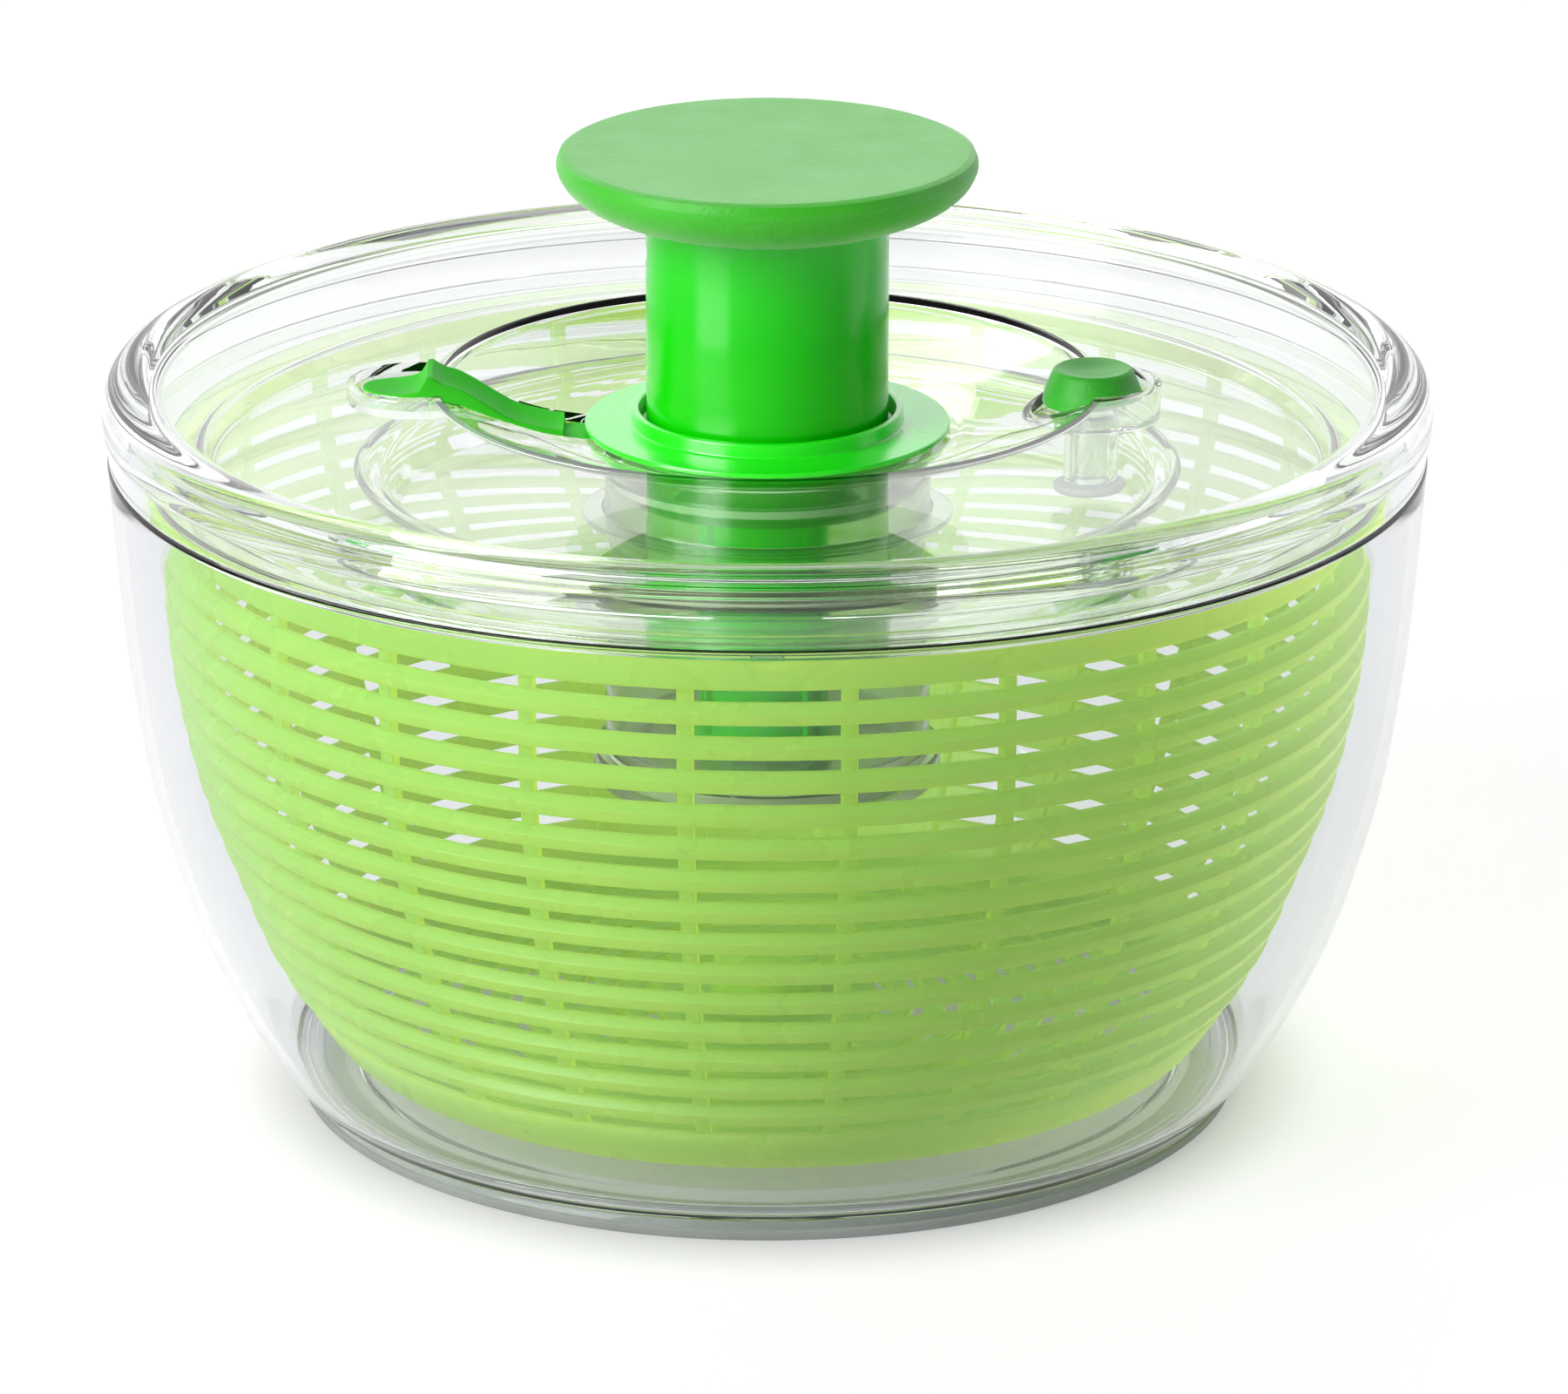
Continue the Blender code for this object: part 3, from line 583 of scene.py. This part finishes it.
def makeLid(s):
    dish = smoothRun(s["dish"], 4)
    plate = s["plate"]
    outline = [(s["bore"], 137.9)] + dish + [(s["recess"], plate, 0.5), (121.5, plate)]
    outline += smoothRun([(123.4, 148.3), (125.5, 149.5), (128.5, 150.2), (131.2, 149.8), (133.0, 148.2),
                          (134, 145)], 3)
    outline += [(133.9, 141.4, 0.3), (133.2, 140.8, 0.2), (132.8, 134.4, 0.5), (129.6, 134.4)]
    outline += [(129.6, 131.6, 0.6), (127.6, 131.6, 0.6), (127.6, 141, 2.0), (126, 145.5, 2.0)]
    outline += [(67.6, plate - s["thick"], 0.5)]
    outline += [(r + 0.8, z - s["thick"]) for r, z in dish[::-1]]
    outline += [(34, 135.7, 0.5), (34, 133.4, 0.4), (s["bore"], 133.4, 0.3)]
    lid = turned(outline, s["steps"])

    space = [(0, 137.1)] + [(r, z - 0.8) for r, z in dish]
    space += [(66.5, 146.9), (110, 146.9), (110, 160), (0, 160)]
    pocket = post(s["pocket"], s["pocketFloor"], 147.4, s["brakeX"], 96, 1.0)
    pocket = combined(pocket, turned(space, s["steps"]))
    guide = [(0, 124), (5.5, 124, 0.3), (5.5, 138.6), (0, 138.6)]
    trough = combined(troughShape(s, s["troughWall"], 1.6, 147.4), turned(space, s["steps"]))
    for extra in (pocket, trough, placed(turned(guide, 64), (s["brakeX"], 0, 0))):
        lid = combined(lid, extra, "UNION", "MANIFOLD")
    hollow = s["pocket"] - s["pocketWall"]
    cuts = [
        post(hollow, s["pocketFloor"] + 1.4, 160, s["brakeX"], 96, 0.8),
        post(4.0, 120, 145, s["brakeX"]),
        troughShape(s, 0, 0, 160),
        post(s["bore"] + 0.2, 130, 160, 0, s["steps"]),
    ]
    for cut in cuts:
        lid = combined(lid, cut, "DIFFERENCE", "MANIFOLD")
    addPiece("lidShell", closed(lid), materials["clear"], "lid", ["lid_shell"], 28)


def makeCollar():
    outline = [
        (25, 133.6), (27.9, 133.6), (27.9, 138.2), (36.9, 138.2, 0.4), (36.9, 139.4, 0.5), (27.5, 139.4, 0.5),
        (27.5, 142.4, 0.5), (25.9, 142.4, 0.5), (25.9, 138.6, 0.2), (25, 138),
    ]
    collar = turned(outline, 144)
    sleeve = [(25, 123.3), (28.9, 123.3, 0.2), (28.9, 124.2), (27.9, 124.2), (27.9, 133.5), (25, 133.5)]
    addPiece("collarSleeve", turned(sleeve, 144), materials["clear"], "lid")
    slot = bmesh.new()
    bmesh.ops.create_cube(slot, size=1)
    bmesh.ops.scale(slot, vec=(6, 6.8, 2.8), verts=slot.verts)
    collar = combined(collar, placed(slot, (-27, 0, 136.4)))
    addPiece("collarRing", collar, materials["collar"], "lid", ["collar"])
    plain = {
        "retainerRing": ("collar_retainer", 28.2, 30.7, 124.6, 126.7),
        "bearingWasher": ("bearing_ring", 28.8, 33.0, 132.0, 133.1),
        "springSeat": ("spring_washer", 11.0, 19.5, 120.3, 121.2),
    }
    for name, (node, inner, outer, bottom, top) in plain.items():
        outline = [(inner, bottom, 0.2), (outer, bottom, 0.2), (outer, top, 0.2), (inner, top, 0.2)]
        addPiece(name, turned(outline, 120), materials["acetal"], "lid", [node])


makeLid(lidSizes)
makeCollar()
print("lid made")


# drive well and disc, which turn with the basket

driveSizes = {
    "well": 33.1,
    "wellWall": 2.0,
    "capRadius": 35.4,
    "column": 12.5,
    "columnRibs": 3,
    "ribPairAngle": -44.0,
    "ribPairHalf": 9.0,
    "lugs": 4,
    "screwCircle": 29.9,
    "screwAngle": 17.0,
    "screws": 3,
    "pawls": 3,
    "pawlTip": 15.9,
    "pawlSweep": 0.9,
    "teeth": 12,
}


def bar(low, high, soft=0.0):
    bm = bmesh.new()
    bmesh.ops.create_cube(bm, size=1)
    bmesh.ops.scale(bm, vec=Vector(high) - Vector(low), verts=bm.verts)
    bmesh.ops.translate(bm, vec=(Vector(low) + Vector(high)) / 2, verts=bm.verts)
    if soft:
        bmesh.ops.bevel(
            bm, geom=bm.edges[:], offset=soft, affect="EDGES", segments=3, profile=0.5, material=-1,
        )
    return bm


def makeDrive(s):
    well = s["well"]
    inner = well - s["wellWall"]
    outline = [
        (9.5, 71.2, 0.3), (well, 71.2, 0.5), (well, 113.5, 0.6), (38, 113.5, 0.4), (38, 115.5, 0.4),
        (well, 115.5, 0.6), (well, 131.7, 0.4), (28.6, 131.7, 0.4), (28.6, 127, 0.4), (inner, 127, 0.4),
        (inner, 73.2, 0.8), (9.5, 73.2, 0.3),
    ]
    addPiece("pumpWell", turned(outline, 160), materials["smoke"], "drive", ["pump_housing"])

    slope = smoothRun([(75.6, 117.0), (77.2, 120.4), (79.2, 124.6), (82.5, 126.2)], 4)
    under = [(r + 0.3, z - 1.7) for r, z in slope]
    outline = [(33.5, 115.8, 0.4)] + [(r + 1.4, z) for r, z in under[:-1]]
    outline += [(84, 126.2), (114.6, 126.2, 1.2), (115.8, 131.4, 0.8), (121.6, 131.4, 0.4)]
    outline += [(121.6, 133.2, 0.4), (114.2, 133.2, 0.9), (113, 128, 1.0), (83, 128)]
    outline += [(r - 0.6, z + 1.2) for r, z in slope[::-1]] + [(33.5, 117.6, 0.4)]
    disc = turned(outline, 192)
    lugs = roundTheAxis(lambda: bar((119.6, -2.6, 129), (121.4, 2.6, 132.4), 0.4), s["lugs"])
    disc = combined(disc, lugs, "UNION")
    addPiece("driveDish", disc, materials["clear"], "drive", ["drive_disc"])

    capSide = s["capRadius"]
    cap = [
        (0, 64.5), (34.6, 64.5, 0.6), (capSide, 65.3, 0.4), (capSide, 70.9, 0.5), (33.2, 70.9, 0.3),
        (33.2, 66.9, 0.5), (3.4, 66.9, 0.2), (3.4, 65.6), (0, 65.6),
    ]
    first = math.radians(s["screwAngle"])
    holes = roundTheAxis(lambda: post(1.6, 60, 80, s["screwCircle"], 24), s["screws"], first)
    sinks = roundTheAxis(lambda: post(2.9, 58, 65.8, s["screwCircle"], 32), s["screws"], first)
    cap = combined(combined(turned(cap, 160), holes), sinks)
    addPiece("wellCap", cap, materials["smoke"], "drive", ["housing_end_cap"])

    start = Vector((28, 0, 0))
    tip = Vector((s["pawlTip"] * math.cos(s["pawlSweep"]), s["pawlTip"] * math.sin(s["pawlSweep"]), 0))
    arm = tip - start

    def pawl():
        return placed(bar((0, -0.8, 67.4), (arm.length, 0.8, 70.4), 0.25), start, math.atan2(arm.y, arm.x))

    ring = turned([(27, 67.2, 0.3), (32.8, 67.2, 0.3), (32.8, 70.6, 0.3), (27, 70.6, 0.3)], 120)
    ring = combined(ring, roundTheAxis(pawl, s["pawls"], math.radians(30)), "UNION")
    holes = roundTheAxis(lambda: post(1.6, 60, 80, s["screwCircle"], 24), s["screws"], first)
    addPiece("pawlRing", combined(ring, holes), materials["acetal"], "drive", ["ratchet_ring"])
    washer = [(3.3, 67.2), (6, 67.2, 0.1), (6, 67.6, 0.1), (3.3, 67.6)]
    addPiece("thrustShim", turned(washer, 48), materials["acetal"], "drive", ["thrust_washer"])

    for i in range(s["screws"]):
        screw = [(0, 64.7), (2.6, 64.7, 0.3), (2.6, 65.5, 0.2), (1.3, 65.7), (1.3, 73, 0.3), (0, 73)]
        screw = combined(turned(screw, 32), together([bar((-1.7, -0.3, 64), (1.7, 0.3, 65.3))]))
        turn = first + math.tau * i / s["screws"]
        place = (s["screwCircle"] * math.cos(turn), s["screwCircle"] * math.sin(turn), 0)
        addPiece(
            f"capScrewHead{i + 1}", placed(screw, place, turn + 0.7 * i), materials["steel"], "drive",
            [f"cap_screw_{i + 1}"],
        )

    outline = [
        (11, 73.5, 0.3), (17, 73.5, 0.3), (17, 75, 0.5), (s["column"], 75, 0.8), (s["column"], 118.4, 0.8),
        (19.5, 118.4, 0.3), (19.5, 120, 0.4), (11, 120, 0.3),
    ]
    column = turned(outline, 120)
    ribs = []
    for pair in range(s["columnRibs"]):
        for side in (-s["ribPairHalf"], s["ribPairHalf"]):
            turn = math.radians(s["ribPairAngle"] + 360 / s["columnRibs"] * pair + side)
            ribs.append(placed(bar((11.8, -0.6, 74.5), (13.9, 0.6, 118.8), 0.3), turn=turn))
    column = combined(column, together(ribs), "UNION")
    addPiece("ribbedColumn", column, materials["green"], "drive", ["spindle_guide"])


def makeSpindle(s):
    lead = stroke / strokeTurns
    bottom = 72.6
    top = 134.0
    steps = 160
    rod = bmesh.new()
    bmesh.ops.create_grid(rod, x_segments=6, y_segments=2, size=1)
    bmesh.ops.scale(rod, vec=(3.1, 1.2, 1), verts=rod.verts)
    turn = math.tau * bottom / lead
    rod = placed(rod, (0, 0, bottom), turn)
    bmesh.ops.spin(
        rod, geom=rod.verts[:] + rod.edges[:] + rod.faces[:], cent=(0, 0, 0), axis=(0, 0, 1),
        dvec=(0, 0, (top - bottom) / steps), angle=math.tau * (top - bottom) / lead, steps=steps,
    )
    journal = [(0, 65.9), (3, 65.9, 0.3), (3, 73, 0.3), (0, 73)]
    rod = combined(capped(rod), turned(journal, 48), "UNION")
    addPiece("twistedRod", rod, materials["steel"], "spindle", ["twist_rod"])

    wheel = bmesh.new()
    bmesh.ops.create_circle(wheel, cap_ends=True, segments=s["teeth"] * 4, radius=14.2)
    for vert in wheel.verts:
        step = round(math.atan2(vert.co.y, vert.co.x) / math.tau * s["teeth"] * 4) % 4
        vert.co *= (1.0, 0.885, 0.92, 0.96)[step]
    wheel = extruded(placed(wheel, (0, 0, 67.9)), (0, 0, 2.5))
    wheel = combined(wheel, post(3.3, 60, 75, 0, 48))
    addPiece("toothedWheel", wheel, materials["acetal"], "spindle", ["ratchet_wheel"])


def capped(bm):
    mouths = [e for e in bm.edges if e.is_boundary]
    bmesh.ops.holes_fill(bm, edges=mouths, sides=0)
    return closed(bm)


def coil(radius, wire, bottom, top, turns):
    # round wire wound up Z
    bm = bmesh.new()
    stand = Matrix.Translation((radius, 0, bottom + wire)) @ Matrix.Rotation(math.pi / 2, 4, "X")
    bmesh.ops.create_circle(bm, cap_ends=True, segments=12, radius=wire, matrix=stand)
    steps = round(turns * 36)
    bmesh.ops.spin(
        bm, geom=bm.verts[:] + bm.edges[:] + bm.faces[:], cent=(0, 0, 0), axis=(0, 0, 1),
        dvec=(0, 0, (top - bottom - 2 * wire) / steps), angle=math.tau * turns, steps=steps,
    )
    return capped(bm)


# knob, plunger and what they carry

pumpSizes = {
    "radius": 24.4,
    "wall": 2.6,
    "joint": 133.0,
    "knobSide": [
        (42.2, 193.6), (42.1, 192.0), (40.6, 189.2), (37.6, 186.6), (33.4, 184.6), (29, 183.2), (25, 182.5),
    ],
    "springTop": 181.2,
    "springBottom": 121.5,
}


def makePump(s):
    outer = s["radius"]
    inner = outer - s["wall"]
    joint = s["joint"]
    outline = [(inner, joint, 0.1), (outer, joint, 0.1), (outer, 183.7, 0.4), (inner, 183.7, 0.4)]
    notches = [bar((-26, -3.4, 134.4 + lift), (-22.5, 3.4, 138.2 + lift), 0.4) for lift in (0, stroke)]
    plunger = combined(turned(outline, 160), together(notches))
    addPiece("plungerTube", plunger, materials["green"], "pump", ["plunger"])
    # its lower end is moulded on in clear plastic and carries the stop flange
    outline = [
        (inner, 120.8, 0.3), (27.4, 120.8, 0.3), (27.4, 122.3, 0.4), (outer, 122.9, 0.5),
        (outer, joint - 0.05, 0.1), (inner, joint - 0.05, 0.1),
    ]
    addPiece("plungerClearEnd", turned(outline, 160), materials["smoke"], "pump")

    side = smoothRun(s["knobSide"], 4)
    crown = smoothRun([(0, 195.15), (16, 195.2), (30, 195.4), (38, 195.58), (40.6, 195.6)], 3)
    outline = crown + [(41.6, 195.1)] + side + [(24.9, 184.3), (30.4, 185.7), (36.2, 188.4), (39.2, 191.2)]
    outline += [(39.6, 193.4), (0, 193.4)]
    knob = turned(outline, 160)
    addPiece("knobCap", knob, materials["touch"], "pump", ["knob_cover"], 40)

    core = [
        (4.2, 193.1, 0.3), (39.1, 193.1, 0.4), (38.6, 191.3), (35.8, 188.8), (30.2, 186.1), (24.6, 184.8),
        (24.6, 184.0), (21.4, 184.0), (21.4, 178.0, 0.3), (17.6, 178.0, 0.3), (17.6, 181.6),
        (2.3, 181.6), (2.3, 189.8), (4.2, 189.8),
    ]
    addPiece("knobPlate", turned(core, 120), materials["acetal"], "pump", ["knob_core"])
    screw = [
        (0, 178), (1.4, 178), (2, 179, 0.2), (2, 190.1), (3.8, 190.1, 0.2), (3.8, 192.2, 0.4),
        (3.2, 192.7, 0.2), (0, 192.7),
    ]
    screw = combined(turned(screw, 40), bar((-2, -0.35, 191.4), (2, 0.35, 194)))
    screw = combined(screw, bar((-0.35, -2, 191.4), (0.35, 2, 194)))
    addPiece("knobScrewTurned", screw, materials["steel"], "pump", ["knob_screw"])

    carrier = [
        (7.4, 112, 0.2), (10.2, 112, 0.4), (10.2, 176.4, 0.5), (13.2, 176.4, 0.4), (13.2, 181.3, 0.4),
        (2.3, 181.3), (2.3, 176), (6, 174.6), (6, 118.3), (7.4, 118.3),
    ]
    addPiece("nutTube", turned(carrier, 96), materials["green"], "pump", ["nut_carrier"])
    nut = turned([(0, 112.2), (7.1, 112.2, 0.3), (7.1, 118, 0.3), (0, 118)], 96)
    slot = bmesh.new()
    bmesh.ops.create_grid(slot, x_segments=4, y_segments=2, size=1)
    bmesh.ops.scale(slot, vec=(3.6, 1.7, 1), verts=slot.verts)
    lead = stroke / strokeTurns
    slot = placed(slot, (0, 0, 108), math.tau * 108 / lead)
    bmesh.ops.spin(
        slot, geom=slot.verts[:] + slot.edges[:] + slot.faces[:], cent=(0, 0, 0), axis=(0, 0, 1),
        dvec=(0, 0, 14 / 36), angle=math.tau * 14 / lead, steps=36,
    )
    addPiece("threadedNut", combined(nut, capped(slot)), materials["acetal"], "pump", ["drive_nut"])

    spring = coil(15.6, 0.6, s["springBottom"], s["springTop"], 8)
    spring = addPiece("returnSpring", spring, materials["steel"], "lid", ["pump_spring"])
    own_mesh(spring)


# brake

brakeSizes = {
    "x": 65.6,
    "travel": 2.7,
    "springTop": 146.9,
    "springBottom": 139.7,
}


def makeBrake(s):
    at = (s["x"], 0, 0)
    cap = smoothRun([(0, 149.1), (3.4, 149.25), (6.0, 149.9), (7.4, 150.25)], 3)
    cap += smoothRun([(8.0, 149.9), (8.9, 148.0), (9.8, 145.6), (10.2, 143.4)], 3)
    cap += [(10.1, 143.2), (8.9, 143.2, 0.2), (8.6, 147.2, 0.4), (0, 147.2)]
    cap = placed(turned(cap, 96), at)
    addPiece("buttonCap", cap, materials["button"], "brake", ["brake_button"], 40)
    stem = [(0, 123.6), (3.3, 123.6, 0.2), (3.3, 144.6), (4.6, 145.2), (4.6, 146.9, 0.2), (0, 146.9)]
    stem = placed(turned(stem, 64), at)
    addPiece("buttonStem", stem, materials["smoke"], "brake", ["brake_stem"])
    pad = [(0, 121), (6.6, 121, 0.3), (7.4, 121.8, 0.4), (7.4, 123.3, 0.4), (0, 123.3)]
    pad = placed(turned(pad, 80), at)
    addPiece("stoppingPad", pad, materials["rubber"], "brake", ["brake_pad"])
    spring = placed(coil(6.4, 0.45, s["springBottom"], s["springTop"], 3), at)
    spring = addPiece("buttonSpring", spring, materials["steel"], "lid", ["brake_spring"])
    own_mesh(spring)


# lock slider

lockSizes = {
    # place along X, half width, underside, top at the sides, hollow of the top
    "tongue": [
        (-26.4, 2.6, 135.3, 136.9, 0), (-32.6, 2.6, 135.3, 136.9, 0), (-33, 6.0, 135.3, 136.9, 0),
        (-40.9, 6.4, 135.3, 136.9, 0),
    ],
    "slope": [
        (-41.1, 6.6, 135.4, 139.2, 1.0), (-44, 6.7, 136.1, 139.6, 1.3), (-50.3, 6.8, 138.9, 141.2, 1.2),
        (-54.6, 6.8, 140.9, 143.5, 1.2), (-58.9, 6.8, 142.1, 146.2, 1.3),
        (-62.3, 6.8, 142.9, 148.1, 1.5), (-65.2, 6.9, 143.4, 148.9, 0.8), (-67.4, 7.0, 143.5, 150.2, 0.2),
    ],
    "pad": [
        (-68.4, 7.0, 143.6, 150.2, 0.2), (-69.3, 7.0, 143.8, 148.6, 0.6), (-70.4, 7.0, 143.9, 147.3, 0.8),
        (-73, 6.9, 143.9, 146.7, 0.7), (-76, 6.3, 143.95, 146.5, 0.5), (-78.4, 5.2, 144.0, 146.5, 0.3),
        (-80.2, 3.6, 144.1, 146.5, 0.1), (-81.4, 1.4, 144.3, 146.4, 0.0),
    ],
    "softEdge": 0.45,
}


def makeLock(s):
    stations = s["tongue"] + smoothRun(s["slope"], 3) + smoothRun(s["pad"], 2)
    shares = [-1, -0.965, -0.92, -0.7, -0.35, 0, 0.35, 0.7, 0.92, 0.965, 1]
    last = len(stations) - 1
    middle = (len(shares) - 1) / 2
    bm = bmesh.new()
    bmesh.ops.create_grid(bm, x_segments=last, y_segments=len(shares) - 1, size=1)
    feet = {}
    for vert in bm.verts:
        station = round((1 - vert.co.x) / 2 * last)
        x, half, low, high, hollow = stations[station]
        share = shares[round((vert.co.y + 1) * middle)]
        rolled = max(0, abs(share) - 0.92) / 0.08
        x -= 0.0004 * station  # keeps every station's place its own
        vert.co = (x, share * half, high - hollow * (1 - share ** 2) - s["softEdge"] * rolled ** 2)
        feet[station] = (x, low)
    topVerts = set(bm.verts)
    extruded(bm, (0, 0, -30))
    for vert in bm.verts:
        if vert not in topVerts:
            nearest = min(feet.values(), key=lambda foot: abs(foot[0] - vert.co.x))
            vert.co.z = nearest[1]
    addPiece("lockSliderBody", closed(bm), materials["satin"], "lock", ["lock_slider"], 40)


makeDrive(driveSizes)
makeSpindle(driveSizes)
print("drive made")
makePump(pumpSizes)
makeBrake(brakeSizes)
makeLock(lockSizes)
print("knob, brake and lock made")


# light table, lamps and camera

studioSizes = {
    "floor": 12,
    "floorGlow": 0.75,
    # inside these radii from the middle the floor glows less, a painted contact shadow round the base
    "paintedShadowInside": 0.082,
    "paintedShadowOutside": 0.12,
    "paintedShadowShare": 0.33,
    "frontWall": 0.14,
    "backWall": 1.2,
    "lamps": {
        "keySoftbox": ((-1.35, -1.0, 1.1), 1.1, 38),
        "backSoftbox": ((-0.4, 1.4, 1.7), 1.2, 9),
        "sideSoftbox": ((1.7, 0.2, 0.35), 0.8, 3),
    },
}


def makeStudio(s):
    # Opal acrylic sheet, lit from below as a light table: even, nearly white, with only faint shadows
    floor = bmesh.new()
    bmesh.ops.create_circle(floor, cap_ends=True, segments=96, radius=s["floor"])
    mesh = bpy.data.meshes.new("floor")
    floor.to_mesh(mesh)
    floor.free()
    floor = bpy.data.objects.new("floor", mesh)
    bpy.context.scene.collection.objects.link(floor)
    opal = {"Roughness": 0.7, "Emission Color": linear("#FFFFFF"), "Emission Strength": s["floorGlow"]}
    material, tree, shader, place = startMaterial("opalAcrylic", opal)
    mottle(tree, shader, place, ("#929292", "#909091"), 2)
    # painted shadow: the sheet's glow falls off towards the middle, so the floor darkens under and round the
    # base as a painted contact shadow
    reach = addNode(tree, "ShaderNodeVectorMath", links={0: place}, operation="LENGTH")
    glow = addNode(
        tree, "ShaderNodeMapRange",
        {
            "From Min": s["paintedShadowInside"], "From Max": s["paintedShadowOutside"],
            "To Min": s["paintedShadowShare"] * s["floorGlow"], "To Max": s["floorGlow"],
        },
        {"Value": reach.outputs["Value"]}, interpolation_type="SMOOTHSTEP",
    )
    tree.links.new(glow.outputs["Result"], shader.inputs["Emission Strength"])
    mesh.materials.append(material)

    # the room is dark behind the camera and bright behind the object
    world = bpy.data.worlds.new("studio")
    bpy.context.scene.world = world
    world.use_nodes = True
    tree = world.node_tree
    direction = addNode(tree, "ShaderNodeTexCoord").outputs["Generated"]
    parts = addNode(tree, "ShaderNodeSeparateXYZ", links={"Vector": direction})
    back = addNode(
        tree, "ShaderNodeMapRange", {"From Min": 0.3, "From Max": 0.75, "To Min": 0.0, "To Max": 1.0},
        {"Value": parts.outputs["Y"]},
    )
    high = addNode(
        tree, "ShaderNodeMapRange", {"From Min": 0.55, "From Max": 0.85, "To Min": 1.0, "To Max": 0.3},
        {"Value": parts.outputs["Z"]},
    )
    share = addNode(
        tree, "ShaderNodeMath", links={0: back.outputs["Result"], 1: high.outputs["Result"]},
        operation="MULTIPLY",
    )
    glow = addNode(
        tree, "ShaderNodeMapRange", {"To Min": s["frontWall"], "To Max": s["backWall"]},
        {"Value": share.outputs["Value"]},
    )
    background = tree.nodes["Background"]
    background.inputs["Color"].default_value = (1, 1, 1, 1)
    tree.links.new(glow.outputs["Result"], background.inputs["Strength"])

    for name, (spot, width, power) in s["lamps"].items():
        data = bpy.data.lights.new(name, "AREA")
        data.size = width
        data.energy = power
        lamp = bpy.data.objects.new(name, data)
        lamp.location = spot
        lamp.rotation_euler = (Vector((0, 0, 0.08)) - Vector(spot)).to_track_quat("-Z", "Y").to_euler()
        bpy.context.scene.collection.objects.link(lamp)


def makeCamera():
    elevation = math.radians(18.8)
    distance = 1.7769
    data = bpy.data.cameras.new("camera")
    data.lens = 200
    data.sensor_width = 36
    data.shift_x = 0.0106
    camera = bpy.data.objects.new("camera", data)
    camera.location = (0, -distance * math.cos(elevation), 0.0802 + distance * math.sin(elevation))
    camera.rotation_euler = (math.pi / 2 - elevation, 0, 0)
    bpy.context.scene.collection.objects.link(camera)
    bpy.context.scene.camera = camera


makeStudio(studioSizes)
makeCamera()
scene = bpy.context.scene
scene.view_settings.view_transform = "Standard"
scene.cycles.max_bounces = 24
scene.cycles.transmission_bounces = 24
scene.cycles.transparent_max_bounces = 32
scene.cycles.diffuse_bounces = 4
scene.cycles.glossy_bounces = 6
